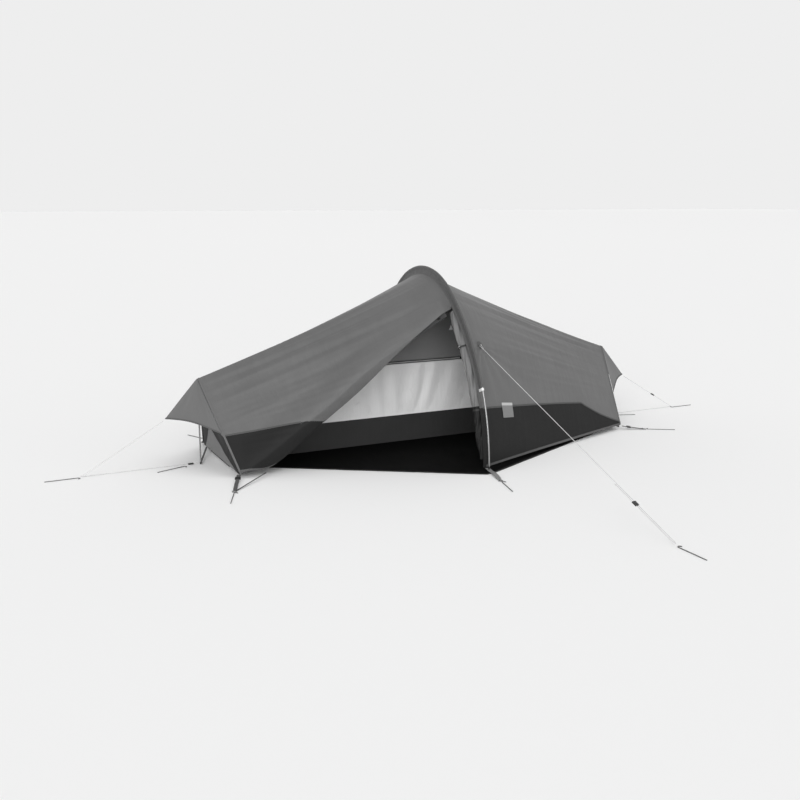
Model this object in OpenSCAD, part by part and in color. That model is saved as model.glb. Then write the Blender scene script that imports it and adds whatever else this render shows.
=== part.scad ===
// One-person single-hoop tent: one bent pole across the middle, a short strut at each end,
// a flysheet with an open porch door, an inner tent, a groundsheet, straps, pegs and guylines.
// X runs along the tent, -Y is the door side, Z is up. The origin is on the ground, midway
// between the end struts, below the hoop.

/* [Hoop] */
// Height of the pole's centreline at the top of the hoop
hoop_height = 1014; // [960:1:1060]
// Half of the hoop's width at the ground
hoop_half = 750; // [720:1:780]
// Radius of the hoop's top bend
top_radius = 500; // [480:1:520]
// Half of the angle that the top bend covers
top_angle = 38.5; // [36:0.5:42]
// How far the hoop stands towards the door side of the end struts
hoop_shift = 40; // [30:1:50]
// Outside diameter of the pole
pole_d = 9; // [8.5:0.5:9.5]
// Wall of the pole's tube
pole_wall = 0.7; // [0.5:0.1:1]

/* [Flysheet] */
// Distance from the hoop to each end strut
apex_x = 1320; // [1280:1:1360]
// Height of the flysheet over each end strut
apex_z = 465; // [440:1:490]
// Distance from the hoop to the flysheet's corners
corner_x = 1215; // [1190:1:1240]
// Half of the width between the corners at one end
corner_y = 355; // [340:1:370]
// Height of the hem above the ground
hem_z = 30; // [25:1:40]
// How deep the pole sleeve stands above the flysheet
fin_depth = 40; // [36:1:44]
// Sag of the ridge midway between strut and hoop
ridge_sag = 16; // [8:1:24]
// Thickness of the flysheet's closed solids
sheet_t = 3; // [2.5:0.5:4]
// How far a hood reaches out past its strut
hood_out = 180; // [160:1:200]
// How far a hood's tip hangs below the apex
hood_drop = 200; // [180:1:220]

/* [Inner tent] */
// Half of the inner tent's length
inner_half = 1100; // [1060:1:1130]
// Place of the inner tent's upright front wall
inner_front = -30; // [-40:1:-20]
// Width of the inner tent's floor at the hoop, measured from the strut line
inner_back = 560; // [520:1:580]
// Width of the inner tent's floor at its ends, measured from the strut line
inner_end = 190; // [160:1:200]
// Height of the waterproof tray
tray_h = 160; // [140:1:170]
// Height of the zip between the front wall's fabric and its mesh
zip_z = 470; // [450:1:490]

/* [Lines and straps] */
// Diameter of the guylines
cord_d = 3; // [2.5:0.5:3]
// Width of the webbing straps
strap_w = 20; // [18:1:22]
// Bore radius of the peg rings
ring_r = 8; // [7:0.5:9]

/* [Hidden] */
$fn = 48;

// The hoop is a top bend and two wide side bends that meet it with a common tangent.
deg = 180 / PI;
bend_out = top_radius * sin(top_angle);
bend_up = hoop_height - top_radius + top_radius * cos(top_angle);
to_foot = [hoop_half - bend_out, -bend_up];
side_radius = -(to_foot * to_foot) / (2 * (to_foot * [sin(top_angle), cos(top_angle)]));
side_in = bend_out - side_radius * sin(top_angle);
side_up = bend_up - side_radius * cos(top_angle);
foot_angle = atan2(hoop_half - side_in, -side_up);
top_len = top_radius * top_angle / deg;
half_len = top_len + side_radius * (foot_angle - top_angle) / deg;

// Angle of the hoop from upright, s millimetres along it from its top; + is the door side
function hoop_angle(s) = abs(s) <= top_len
  ? s / top_radius * deg
  : sign(s) * (top_angle + (abs(s) - top_len) / side_radius * deg);
// Point of the hoop at s, moved inwards by inset
function hoop_point(s, inset = 0) =
  let (a = hoop_angle(s), side = abs(s) > top_len)
  let (r = (side ? side_radius : top_radius) - inset)
  [0,
   -hoop_shift - (side ? sign(s) * side_in : 0) - r * sin(a),
   (side ? side_up : hoop_height - top_radius) + r * cos(a)];
function hoop_normal(s) = [0, -sin(hoop_angle(s)), cos(hoop_angle(s))];

// Length along the hoop at which it comes down to the hem's height
hem_s = half_len - hem_z;
sleeve_s = half_len - 440;
side_section = (half_len - top_len) / 3;
// Where one pole section ends and the next begins, from the top of the hoop
joint_s = [0, top_len, top_len + side_section, top_len + 2 * side_section, half_len - 22];
pole_r = pole_d / 2;
bore_r = pole_r - pole_wall;

// A profile carried along the hoop from s0 to s1; its x is outwards, its y is along X
module arc_yz(y, z, r, a0, a1) {
  translate([0, y, z])
    rotate([90, 0, 90])
      rotate([0, 0, a0])
        rotate_extrude(angle = a1 - a0)
          translate([r, 0])
            children();
}
module hoop_run(s0, s1) {
  if (s1 > top_len)
    arc_yz(-hoop_shift - side_in, side_up, side_radius,
           90 + hoop_angle(max(s0, top_len)), 90 + hoop_angle(s1))
      children();
  if (s0 < top_len && s1 > -top_len)
    arc_yz(-hoop_shift, hoop_height - top_radius, top_radius,
           90 + hoop_angle(max(s0, -top_len)), 90 + hoop_angle(min(s1, top_len)))
      children();
  if (s0 < -top_len)
    arc_yz(-hoop_shift + side_in, side_up, side_radius,
           90 + hoop_angle(s0), 90 + hoop_angle(min(s1, -top_len)))
      children();
}
// Places a child at the hoop: its z points outwards, its y along the pole
module on_hoop(s, inset = 0) {
  translate(hoop_point(s, inset))
    rotate([hoop_angle(s), 0, 0])
      children();
}
module tube_profile(r_out, r_in) {
  difference() {
    circle(r_out);
    circle(r_in);
  }
}

// Places a bar along the line from p to q: the child's x runs from p towards q
module along(p, q, roll = 0) {
  d = q - p;
  translate(p)
    rotate([roll, -asin(d.z / norm(d)), atan2(d.y, d.x)])
      children();
}
module bar(p, q, w, t, roll = 0) {
  along(p, q, roll)
    translate([0, -w / 2, -t / 2])
      cube([norm(q - p), w, t]);
}

// A closed sheet between an outer and an inner grid of points
function flat_list(grid) = [for (row = grid) for (p = row) p];
module sheet(outer, inner, flip = false) {
  n = len(outer);
  m = len(outer[0]);
  k = n * m;
  skin = [
    for (i = [0 : n - 2]) for (j = [0 : m - 2])
      each [[i * m + j, (i + 1) * m + j, (i + 1) * m + j + 1],
            [i * m + j, (i + 1) * m + j + 1, i * m + j + 1]]
  ];
  border = [
    for (i = [0 : n - 2]) each [[i * m, (i + 1) * m], [(i + 2) * m - 1, (i + 1) * m - 1]],
    for (j = [0 : m - 2]) each [[j + 1, j], [(n - 1) * m + j, (n - 1) * m + j + 1]]
  ];
  faces = [
    for (f = skin) f,
    for (f = skin) [k + f[2], k + f[1], k + f[0]],
    for (e = border) each [[e[1], e[0], k + e[0]], [e[1], k + e[0], k + e[1]]]
  ];
  polyhedron(concat(flat_list(outer), flat_list(inner)),
             flip ? faces : [for (f = faces) [f[2], f[1], f[0]]]);
}

// The flysheet's surface: u runs from the strut (0) to the hoop (1), and w from the door
// side's hem (1) over the ridge (0) to the back hem (-1). side is -1 left and 1 right.
apex = [apex_x, 0, apex_z];
seam_x = 3;
function end_point(w) =
  apex + abs(w) * ([corner_x, -sign(w) * corner_y, hem_z] - apex);
function fly_raw(u, w) =
  let (s = w * hem_s, h = hoop_point(s, fin_depth), e = end_point(w))
  e + u * ([seam_x, h.y, h.z] - e)
  - ridge_sag * (1 - w * w) * 4 * u * (1 - u) * hoop_normal(s);
function unit(v) = v / norm(v);
function fly_normal(u, w) =
  let (h = 0.01)
  let (du = fly_raw(min(u + h, 1), w) - fly_raw(max(u - h, 0), w))
  let (dw = fly_raw(u, min(w + h, 1)) - fly_raw(u, max(w - h, -1)))
  unit(cross(du, dw));
function fly(side, u, w, out = 0) =
  let (p = fly_raw(u, w) + out * fly_normal(u, w)) [side * p.x, p.y, p.z];

// Top edge of the dark skirt, as w along u, on the left and on the right half
left_skirt = [[0, 0.62], [0.4, 0.69], [1, 0.72]];
right_skirt = [[0, 0.96], [0.29, 0.74], [1, 0.775]];
// Fold line beside the open door and edge of the opening, as w along u
fold_line = [[0, 0.99], [0.05, 0.93], [0.24, 0.72], [0.43, 0.565], [0.62, 0.44],
             [0.86, 0.35], [1, 0.31]];
open_line = [[0, 1], [0.12, 0.96], [0.29, 0.78], [0.39, 0.685], [0.54, 0.57],
             [0.7, 0.46], [0.81, 0.4], [1, 0.315]];
fly_u0 = 0.008;
function steps(a, b, n) = [for (i = [0 : n]) a + (b - a) * i / n];

// Part of the flysheet: from w0(u) to w1(u), both tables, between u0 and u1
module fly_part(side, w0, w1, u0, u1, back = false, nu = 14, nw = 6) {
  us = steps(u0, u1, nu);
  k = back ? -1 : 1;
  outer = [for (u = us) [for (f = steps(0, 1, nw))
    fly(side, u, k * (lookup(u, w0) * (1 - f) + lookup(u, w1) * f))]];
  inner = [for (u = us) [for (f = steps(0, 1, nw))
    fly(side, u, k * (lookup(u, w0) * (1 - f) + lookup(u, w1) * f), -sheet_t)]];
  sheet(outer, inner, side * k > 0);
}
ridge = [[0, 0], [1, 0]];
hem = [[0, 1], [1, 1]];

// Inner tent: upright front wall, sloping back
roof_z = 915;
end_roof_z = 420;
inner_t = 2;
function inner_back_point(u, v) =
  let (x = u * inner_half, k = 1 - abs(u))
  let (s = -v * (half_len - tray_h - 4), h = hoop_point(s, 100))
  let (e = [0, inner_front + 2 + v * (inner_end - inner_front - 2),
            end_roof_z + v * (tray_h + 2 - end_roof_z)])
  [x, e.y + (h.y - e.y) * k + (1 - v) * 12 * k, e.z + (h.z - e.z) * k];

// Straps: where each leaves the tent and where its ring lies
corner_fl = [-corner_x - 4, -corner_y - 6, hem_z - 8];
ring_fl = [-1305, -572, 2];
corner_fr = [corner_x + 6, -corner_y - 4, hem_z - 8];
ring_fr = [1345, -420, 2];
corner_bl = [-corner_x, corner_y + 8, hem_z - 8];
ring_bl = [-1145, 505, 2];
corner_br = [corner_x, corner_y + 8, hem_z - 8];
ring_br = [1145, 505, 2];
foot_front = [0, -hoop_shift - hoop_half, 4];
ring_ff = [-50, -985, 2];
foot_back = [0, -hoop_shift + hoop_half, 4];
ring_bf = [0, 900, 2];
ring_places = [ring_fl, ring_fr, ring_bl, ring_br, ring_ff, ring_bf];
ring_out = ring_r + 4;
ring_t = 4;
function strap_end(p, q) = q - (ring_out + 1) * unit(q - p);

// Guyline routes
front_line = [
  [97, -548, 603], [97, -1300, 314], [97, -2060, 22], [96, -2084, 14], [93, -2092, 11],
  [89, -2084, 14], [88, -2060, 22], [88, -1700, 160]
];
left_line = [
  [-1507, 0, 255], [-1700, 0, 143], [-1914, 0, 19], [-1928, 1, 12], [-1936, 6, 9],
  [-1930, 12, 7], [-1910, 13, 5], [-1600, 13, 5], [-1335, 13, 5]
];
right_line = [
  [1507, 0, 255], [1700, 0, 143], [1914, 0, 19], [1928, 1, 12], [1936, 6, 9],
  [1930, 12, 7], [1910, 13, 5], [1600, 13, 5], [1335, 13, 5]
];
front_axis = unit(front_line[2] - front_line[0]);
side_axis = unit(right_line[2] - right_line[0]);

// A round cord swept along a route, 8 sides, one ring at each point
function ring_dir(route, i) =
  unit(route[min(i + 1, len(route) - 1)] - route[max(i - 1, 0)]);
function cord_ring(p, d, r) =
  let (a = unit(cross(d, [0.3, 0.2, 1])), b = cross(d, a))
  [for (k = [0 : 7]) p + r * cos(45 * k) * a + r * sin(45 * k) * b];
module cord(route, r) {
  n = len(route);
  pts = [for (i = [0 : n - 1]) each cord_ring(route[i], ring_dir(route, i), r)];
  walls = [for (i = [0 : n - 2]) for (k = [0 : 7])
    let (a = i * 8 + k, b = i * 8 + (k + 1) % 8)
    each [[a, a + 8, b + 8], [a, b + 8, b]]];
  caps = [[for (k = [0 : 7]) k], [for (k = [7 : -1 : 0]) (n - 1) * 8 + k]];
  polyhedron(pts, concat(walls, caps));
}

// Zip of the open door, straight between four points just outside the fold line
zip_points = [[-58, -412, 783], [-490, -396, 536], [-950, -376, 214], [-1120, -368, 92]];
zip_axis = unit(zip_points[1] - zip_points[0]);
zip_w = 8;
zip_t = 2;

// ---- poles ----
module pole_part(s0, s1) {
  color("silver")
    hoop_run(s0, s1)
      tube_profile(pole_r, bore_r);
}
// Section number i, counted from the top of the hoop; side is 1 at the door and -1 behind
module pole_section(side, i) {
  a = side * (joint_s[i] + 0.2);
  b = side * joint_s[i + 1];
  pole_part(min(a, b), max(a, b));
}
module front_pole_top() pole_section(1, 0);
module front_pole_upper() pole_section(1, 1);
module front_pole_middle() pole_section(1, 2);
module front_pole_foot() pole_section(1, 3);
module back_pole_top() pole_section(-1, 0);
module back_pole_upper() pole_section(-1, 1);
module back_pole_middle() pole_section(-1, 2);
module back_pole_foot() pole_section(-1, 3);
// A short tube inside each joint, swept along the hoop with 12 flat sides
ferrule_half = 38;
function hoop_ring(s, r) =
  [for (a = [0 : 30 : 330]) hoop_point(s) + r * (cos(a) * hoop_normal(s) + sin(a) * [1, 0, 0])];
module swept_tube(s0, s1, r_out, r_in) {
  ss = steps(s0, s1, 6);
  n = len(ss);
  pts = [for (r = [r_out, r_in]) for (s = ss) each hoop_ring(s, r)];
  function quad(a, b, c, d) = [[a, b, c], [a, c, d]];
  inner_k = n * 12;
  walls = [for (i = [0 : n - 2]) for (j = [0 : 11])
    let (a = i * 12 + j, b = i * 12 + (j + 1) % 12)
    each concat(quad(a, a + 12, b + 12, b),
                quad(inner_k + a, inner_k + b, inner_k + b + 12, inner_k + a + 12))];
  ends = [for (j = [0 : 11]) let (b = (j + 1) % 12, e = (n - 1) * 12)
    each concat(quad(j, b, inner_k + b, inner_k + j),
                quad(e + j, inner_k + e + j, inner_k + e + b, e + b))];
  polyhedron(pts, concat(walls, ends));
}
module pole_ferrules() {
  color("silver")
    for (i = [-3 : 3])
      let (s = sign(i) * joint_s[abs(i)])
        swept_tube(s - ferrule_half, s + ferrule_half, bore_r - 0.05, 1.9);
}
module pole_shock_cord() {
  color("white")
    cord([for (s = steps(-half_len + 50, half_len - 50, 76)) hoop_point(s)], 1.2);
}
strut_r = 4;
strut_top = 432;
module strut(side) {
  color("silver")
    translate([side * apex_x, 0, 12])
      difference() {
        cylinder(h = strut_top - 12, r = strut_r);
        translate([0, 0, -1])
          cylinder(h = strut_top, r = strut_r - 0.7);
      }
}
module left_strut() strut(-1);
module right_strut() strut(1);
// Plastic ends: a pin and plug at each foot of the hoop, a foot and a cap on each strut
module pole_tips() {
  color("dimgray") {
    for (k = [-1, 1])
      translate([0, -hoop_shift + k * hoop_half, 0]) {
        translate([0, 0, 10])
          cylinder(h = 11.8, r = pole_r);
        translate([0, 0, 3])
          cylinder(h = 8, r = 2.6);
        translate([0, 0, 20])
          cylinder(h = 20, r = bore_r - 0.5);
      }
    for (side = [-1, 1])
      translate([side * apex_x, 0, 0]) {
        cylinder(h = 11.8, r = strut_r + 1.5);
        translate([0, 0, 11])
          cylinder(h = 14, r = strut_r - 0.9);
        translate([0, 0, strut_top + 0.2])
          cylinder(h = 12, r = strut_r + 1.5);
        translate([0, 0, strut_top - 14])
          cylinder(h = 15, r = strut_r - 0.9);
      }
  }
}

// ---- flysheet ----
module pole_sleeve() {
  color("dimgray")
    hoop_run(-sleeve_s, sleeve_s)
      difference() {
        union() {
          circle(pole_r + 1.6);
          translate([-fin_depth + 1, -2])
            square([fin_depth - 1, 4]);
        }
        circle(pole_r + 0.4);
      }
}
module pole_clip() {
  rotate([90, 0, 0])
    difference() {
      cylinder(h = 14, r = pole_r + 3, center = true);
      cylinder(h = 16, r = pole_r + 0.4, center = true);
    }
  translate([-2, -7, -fin_depth + 2])
    cube([4, 14, fin_depth - 2 - pole_r - 1.5]);
}
module pole_clips() {
  color("gainsboro")
    for (k = [-1, 1])
      on_hoop(k * (sleeve_s + 12))
        pole_clip();
}
module fly_left_front() {
  top = [for (u = [0 : 0.05 : 1]) [u, min(lookup(u, left_skirt), lookup(u, fold_line))]];
  color("darkgray") fly_part(-1, top, ridge, fly_u0, 1, nu = 20);
}
module fly_left_back() color("darkgray") fly_part(-1, left_skirt, ridge, fly_u0, 1, true);
module fly_right_front() color("darkgray") fly_part(1, right_skirt, ridge, fly_u0, 1);
module fly_right_back() color("darkgray") fly_part(1, left_skirt, ridge, fly_u0, 1, true);
skirt_end_u = 0.24;
module skirt_left_front() {
  color("#2b2b2b") fly_part(-1, fold_line, left_skirt, fly_u0, skirt_end_u, nu = 6, nw = 3);
}
module skirt_left_back() {
  color("#2b2b2b") fly_part(-1, hem, left_skirt, fly_u0, 1, true, nw = 3);
}
module skirt_right_front() {
  color("#2b2b2b") fly_part(1, hem, right_skirt, fly_u0, 1, nw = 3);
}
module skirt_right_back() {
  color("#2b2b2b") fly_part(1, hem, left_skirt, fly_u0, 1, true, nw = 3);
}

// The sloping end under a hood, a little inside the flysheet's edge
module prism(points, off) {
  n = len(points);
  polyhedron(
    concat(points, [for (p = points) p + off]),
    concat([[for (i = [0 : n - 1]) i]], [[for (i = [n - 1 : -1 : 0]) n + i]],
           [for (i = [0 : n - 1]) let (j = (i + 1) % n) each [[i, n + i, n + j], [i, n + j, j]]]));
}
end_top = 0.1;
end_low = 0.985;
end_in = 0.955;
function end_corner(side, g, k) =
  let (p = apex + g * ([corner_x, 0, hem_z] - apex))
  [side * (p.x - 5), k * g * corner_y * end_in, p.z - 4];
module end_panel(side) {
  top_f = end_corner(side, end_top, -1);
  low_f = end_corner(side, end_low, -1);
  low_b = end_corner(side, end_low, 1);
  top_b = end_corner(side, end_top, 1);
  pts = side > 0 ? [top_f, top_b, low_b, low_f] : [top_f, low_f, low_b, top_b];
  color("darkgray") prism(pts, [-side * sheet_t, 0, 0]);
}
module left_end_panel() end_panel(-1);
module right_end_panel() end_panel(1);

// A hood: two cloth triangles that share the line from the apex to the tip
hood_down = 0.6;
module hood(side) {
  a = [side * (apex_x + 2), 0, apex_z + 1];
  tip = [side * (apex_x + hood_out), 0, apex_z - hood_drop];
  reach = apex + hood_down * ([corner_x, 0, hem_z] - apex);
  off = [-side * 2, 0, -3];
  module half(k) {
    s = [side * (reach.x + 3), k * hood_down * corner_y, reach.z];
    prism(side * k > 0 ? [a, tip, s] : [a, s, tip], off);
  }
  color("darkgray") {
    half(-1);
    half(1);
  }
}
module left_hood() hood(-1);
module right_hood() hood(1);

// The strip that turns in between the fold line and the door opening
strip_in = 22;
module door_edge_strip() {
  us = steps(0.13, 0.955, 16);
  function strip_row(u, lift) = [for (f = steps(0, 1, 3))
    fly(-1, u, lookup(u, fold_line) * (1 - f) + lookup(u, open_line) * f + 0.004,
        -lift - strip_in * f - 1)];
  color("gray")
    sheet([for (u = us) strip_row(u, 0)], [for (u = us) strip_row(u, sheet_t)], false);
}
// The door rolled up behind the hoop: how far inside it, and the roll's radius
roll_in = 80;
roll_r = 30;
module rolled_door() {
  color("gray")
    hoop_run(hem_s * 0.36, hem_s * 0.97)
      translate([-roll_in, 0])
        circle(roll_r);
}
module door_zip() {
  color("black")
    for (i = [0 : 2])
      bar(zip_points[i], zip_points[i + 1] - 1 * unit(zip_points[i + 1] - zip_points[i]),
          zip_w, zip_t, 60);
}
slider_at = 40;
module door_zip_slider() {
  p = zip_points[0] + slider_at * zip_axis;
  color("black")
    along(p, p + 20 * zip_axis, 60)
      difference() {
        translate([0, -7, -3.5])
          cube([16, 14, 7]);
        translate([-1, -zip_w / 2 - 0.6, -zip_t / 2 - 0.6])
          cube([18, zip_w + 1.2, zip_t + 1.2]);
      }
}
tie_s = [hem_s * 0.5, hem_s * 0.78];
module door_ties() {
  color("black")
    for (s = tie_s)
      hoop_run(s - 5, s + 5)
        translate([-roll_in, 0])
          difference() {
            circle(roll_r + 2.5);
            circle(roll_r + 0.6);
          }
}
toggle_p = hoop_point(tie_s[0], roll_in) - [roll_r + 7, 0, 0];
// A short rod with a cross hole for the loop that it hangs and turns on
module door_toggle() {
  color("black")
    translate(toggle_p)
      difference() {
        rotate([hoop_angle(tie_s[0]), 0, 0])
          rotate([90, 0, 0])
            cylinder(h = 28, r = 3, center = true);
        rotate([0, 90, 0])
          cylinder(h = 8, r = 1.2, center = true);
      }
}
patch_u = 0.924;
patch_w = 0.488;
module guy_patch() {
  n = fly_normal(patch_u, patch_w);
  color("dimgray")
    translate(fly(1, patch_u, patch_w, 1.5))
      rotate([0, acos(n.z), atan2(n.y, n.x)]) {
        cylinder(h = 2, r = 20);
        translate([-2, -5, 0])
          cube([4, 10, 9]);
      }
}

// ---- guylines ----
module front_guyline() color("black") cord(front_line, cord_d / 2);
module left_guyline() color("black") cord(left_line, cord_d / 2);
module right_guyline() color("black") cord(right_line, cord_d / 2);
hole_r = cord_d / 2 + 0.4;
// A two-hole line slider; its x runs along the cord, the second hole lies gap away in y
module line_slider(gap) {
  color("black")
    difference() {
      translate([0, min(gap, 0) - 4.5, -3.5])
        cube([28, abs(gap) + 9, 7]);
      for (y = [0, gap])
        translate([-1, y, 0])
          rotate([0, 90, 0])
            cylinder(h = 30, r = hole_r);
    }
}
module front_guy_slider() {
  p = front_line[0] + 1365 * front_axis;
  along(p, p + 20 * front_axis)
    line_slider(-9);
}
module left_guy_slider() {
  translate([-1385, 13, 5])
    color("black")
      difference() {
        translate([0, -5, -3.5])
          cube([28, 10, 7]);
        translate([-1, 0, 0])
          rotate([0, 90, 0])
            cylinder(h = 30, r = hole_r);
      }
}
module right_guy_slider() {
  p = right_line[0] + 280 * side_axis;
  color("black")
    along(p, p + 20 * side_axis)
      difference() {
        translate([0, -5, -3.5])
          cube([28, 10, 7]);
        translate([-1, 0, 0])
          rotate([0, 90, 0])
            cylinder(h = 30, r = hole_r);
      }
}

// ---- straps, rings and pegs ----
strap_t = 2;
module strap(p, q) color("gray") bar(p, strap_end(p, q), strap_w, strap_t);
// The corner's strap, and the narrow one from the door's low corner to the same ring
// A narrower strap runs from the door's low corner to the same ring, above the wide one
door_corner = [-1085, -392, 24];
door_strap_w = 8;
door_strap_end = 36;
module front_left_strap() {
  strap(corner_fl, ring_fl);
  color("gray")
    bar(door_corner, ring_fl + door_strap_end * unit(door_corner - ring_fl), door_strap_w,
        strap_t);
}
module front_right_strap() strap(corner_fr, ring_fr);
module back_straps() {
  strap(corner_bl, ring_bl);
  strap(corner_br, ring_br);
}
eyelet_r = 8;
module foot_strap(foot, ring) {
  color("lightgray")
    difference() {
      bar(foot - 30 * unit([ring.x, ring.y, 0] - [foot.x, foot.y, 0]),
          strap_end(foot, [ring.x, ring.y, 4]), strap_w + 5, strap_t);
      translate([foot.x, foot.y, -5])
        cylinder(h = 20, r = eyelet_r + 0.1);
    }
}
module foot_straps() {
  foot_strap(foot_front, ring_ff);
  foot_strap(foot_back, ring_bf);
}
// A strap slide: a small frame round its strap
module strap_slide(p, q, at) {
  d = unit(q - p);
  color("black")
    along(p + at * d, q)
      difference() {
        translate([0, -strap_w / 2 - 4, -4])
          cube([22, strap_w + 8, 8]);
        translate([-1, -strap_w / 2 - 0.6, -strap_t / 2 - 0.6])
          cube([24, strap_w + 1.2, strap_t + 1.2]);
      }
}
module front_left_buckle() strap_slide(corner_fl, ring_fl, 40);
module front_right_buckle() strap_slide(corner_fr, ring_fr, 30);
module back_left_buckle() strap_slide(corner_bl, ring_bl, 40);
module back_right_buckle() strap_slide(corner_br, ring_br, 40);
module peg_rings() {
  color("silver")
    for (p = ring_places)
      translate([p.x, p.y, 0])
        rotate_extrude()
          translate([ring_r, 0])
            square([ring_out - ring_r, ring_t]);
}
module pole_eyelets() {
  color("silver")
    for (k = [-1, 1])
      translate([0, -hoop_shift + k * hoop_half, 2.6])
        rotate_extrude()
          translate([3, 0])
            square([eyelet_r - 3, 3]);
}
// A round wire peg lying flat: the hook at p, the shaft away along the heading
peg_r = 2;
peg_len = 160;
ring_peg_out = 25;
cord_peg_out = 16;
hook_r = 9;
module peg(p, heading, out = ring_peg_out) {
  color("gainsboro")
    translate([p.x, p.y, peg_r])
      rotate([0, 0, heading])
        translate([out, 0, 0]) {
          rotate([0, 90, 0])
            cylinder(h = peg_len, r = peg_r);
          translate([0, hook_r, 0])
            rotate([0, 0, 90])
              rotate_extrude(angle = 180)
                translate([hook_r, 0])
                  circle(peg_r);
        }
}
module pegs() {
  peg(ring_fl, -112);
  peg(ring_fr, -31);
  peg(ring_bl, 115);
  peg(ring_br, 65);
  peg(ring_ff, -104);
  peg(ring_bf, 90);
  peg([-1936, 6, 0], 180, cord_peg_out);
  peg([1936, 6, 0], 0, cord_peg_out);
  peg([-1400, -8, 0], 200, cord_peg_out);
  peg([1400, -8, 0], -20, cord_peg_out);
  peg([93, -2092, 0], -90, cord_peg_out);
}

// ---- ground and inner tent ----
module groundsheet() {
  color("#101010")
    linear_extrude(2)
      polygon([[-1200, -115], [-50, -855], [15, -838], [1200, -278], [1200, 250],
               [0, 640], [-1200, 250]]);
}
function tray_outline(in) = [
  [-inner_half + in, inner_front + in], [inner_half - in, inner_front + in],
  [inner_half - in, inner_end - 0.8 * in], [0, inner_back - 1.06 * in],
  [-inner_half + in, inner_end - 0.8 * in]
];
tray_z = 2.4;
module inner_floor() {
  color("#303030")
    translate([0, 0, tray_z])
      difference() {
        linear_extrude(tray_h - tray_z)
          polygon(tray_outline(0));
        translate([0, 0, inner_t])
          linear_extrude(tray_h)
            polygon(tray_outline(inner_t));
      }
}
// Half of the length at which the sloping roof edge comes down to height z
function roof_x(z) = inner_half * (roof_z - z) / (roof_z - end_roof_z);
module wall_xz(points, y, t) {
  translate([0, y + t, 0])
    rotate([90, 0, 0])
      linear_extrude(t)
        polygon(points);
}
module inner_front_panel() {
  color("lightgray")
    wall_xz([[-inner_half, tray_h + 0.5], [inner_half, tray_h + 0.5],
             [inner_half, end_roof_z], [roof_x(zip_z - 1), zip_z - 1],
             [-roof_x(zip_z - 1), zip_z - 1], [-inner_half, end_roof_z]],
            inner_front, inner_t);
}
module inner_mesh_panel() {
  color("dimgray")
    wall_xz([[-roof_x(zip_z), zip_z], [roof_x(zip_z), zip_z], [0, roof_z]],
            inner_front, inner_t);
}
module inner_back_wall() {
  us = steps(-1, 1, 20);
  vs = steps(0.02, 1, 8);
  color("lightgray")
    sheet([for (u = us) [for (v = vs) inner_back_point(u, v)]],
          [for (u = us) [for (v = vs) inner_back_point(u, v) - [0, inner_t, 1]]], false);
}
module inner_end_panels() {
  color("lightgray")
    for (side = [-1, 1])
      translate([side > 0 ? inner_half - inner_t - 0.5 : -inner_half + 0.5, 0, 0])
        rotate([90, 0, 90])
          linear_extrude(inner_t)
            polygon([[inner_front + 3, tray_h + 1], [inner_end - 8, tray_h + 1],
                     [inner_front + 3, end_roof_z - 12]]);
}
inner_zip_half = 620;
module inner_zip() {
  color("black")
    translate([-inner_zip_half, inner_front - 2.4, zip_z - 4])
      cube([2 * inner_zip_half, 2, 8]);
}
module inner_zip_slider() {
  color("black")
    translate([250, inner_front - 5.6, zip_z - 6.5])
      difference() {
        cube([16, 5.4, 13]);
        translate([-1, 2.4, 1.7])
          cube([18, 4, 9.6]);
      }
}
module inner_hangers() {
  color("white") {
    translate([186, inner_front - 3, 655])
      rotate([90, 0, 0])
        linear_extrude(1.5)
          polygon([[-14, 14], [14, 14], [0, -14]]);
    for (x = [-900, -450, 0, 450, 900])
      translate([x - 6, inner_front - 4, end_roof_z - 8 + (roof_z - end_roof_z) * (1 - abs(x) / inner_half)])
        cube([12, 2, 26]);
  }
}

front_pole_top();
back_pole_top();
front_pole_upper();
front_pole_middle();
front_pole_foot();
back_pole_upper();
back_pole_middle();
back_pole_foot();
pole_ferrules();
pole_shock_cord();
pole_tips();
left_strut();
right_strut();
pole_sleeve();
pole_clips();
fly_left_front();
fly_left_back();
fly_right_front();
fly_right_back();
skirt_left_front();
skirt_left_back();
skirt_right_front();
skirt_right_back();
left_end_panel();
right_end_panel();
left_hood();
right_hood();
door_edge_strip();
rolled_door();
door_zip();
door_zip_slider();
door_ties();
door_toggle();
guy_patch();
front_guyline();
left_guyline();
right_guyline();
front_guy_slider();
left_guy_slider();
right_guy_slider();
front_left_strap();
front_right_strap();
back_straps();
foot_straps();
front_left_buckle();
front_right_buckle();
back_left_buckle();
back_right_buckle();
peg_rings();
pegs();
pole_eyelets();
groundsheet();
inner_floor();
inner_front_panel();
inner_mesh_panel();
inner_back_wall();
inner_end_panels();
inner_zip();
inner_zip_slider();
inner_hangers();
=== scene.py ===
import math

import bmesh
import bpy
from mathutils import Euler, Matrix, Vector, noise


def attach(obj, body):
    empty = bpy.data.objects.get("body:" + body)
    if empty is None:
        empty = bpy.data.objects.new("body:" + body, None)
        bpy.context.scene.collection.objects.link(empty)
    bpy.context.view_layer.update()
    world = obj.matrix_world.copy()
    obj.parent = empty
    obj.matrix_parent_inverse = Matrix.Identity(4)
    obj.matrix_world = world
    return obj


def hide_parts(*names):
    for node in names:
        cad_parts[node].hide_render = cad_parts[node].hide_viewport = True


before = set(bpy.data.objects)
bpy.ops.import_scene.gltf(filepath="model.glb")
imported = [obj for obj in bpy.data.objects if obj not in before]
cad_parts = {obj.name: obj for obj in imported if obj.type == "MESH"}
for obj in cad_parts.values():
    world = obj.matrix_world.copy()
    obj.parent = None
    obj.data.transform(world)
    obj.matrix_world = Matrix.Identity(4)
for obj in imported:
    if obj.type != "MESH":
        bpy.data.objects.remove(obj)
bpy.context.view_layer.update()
scene = bpy.context.scene
TENT = "tent"

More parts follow.
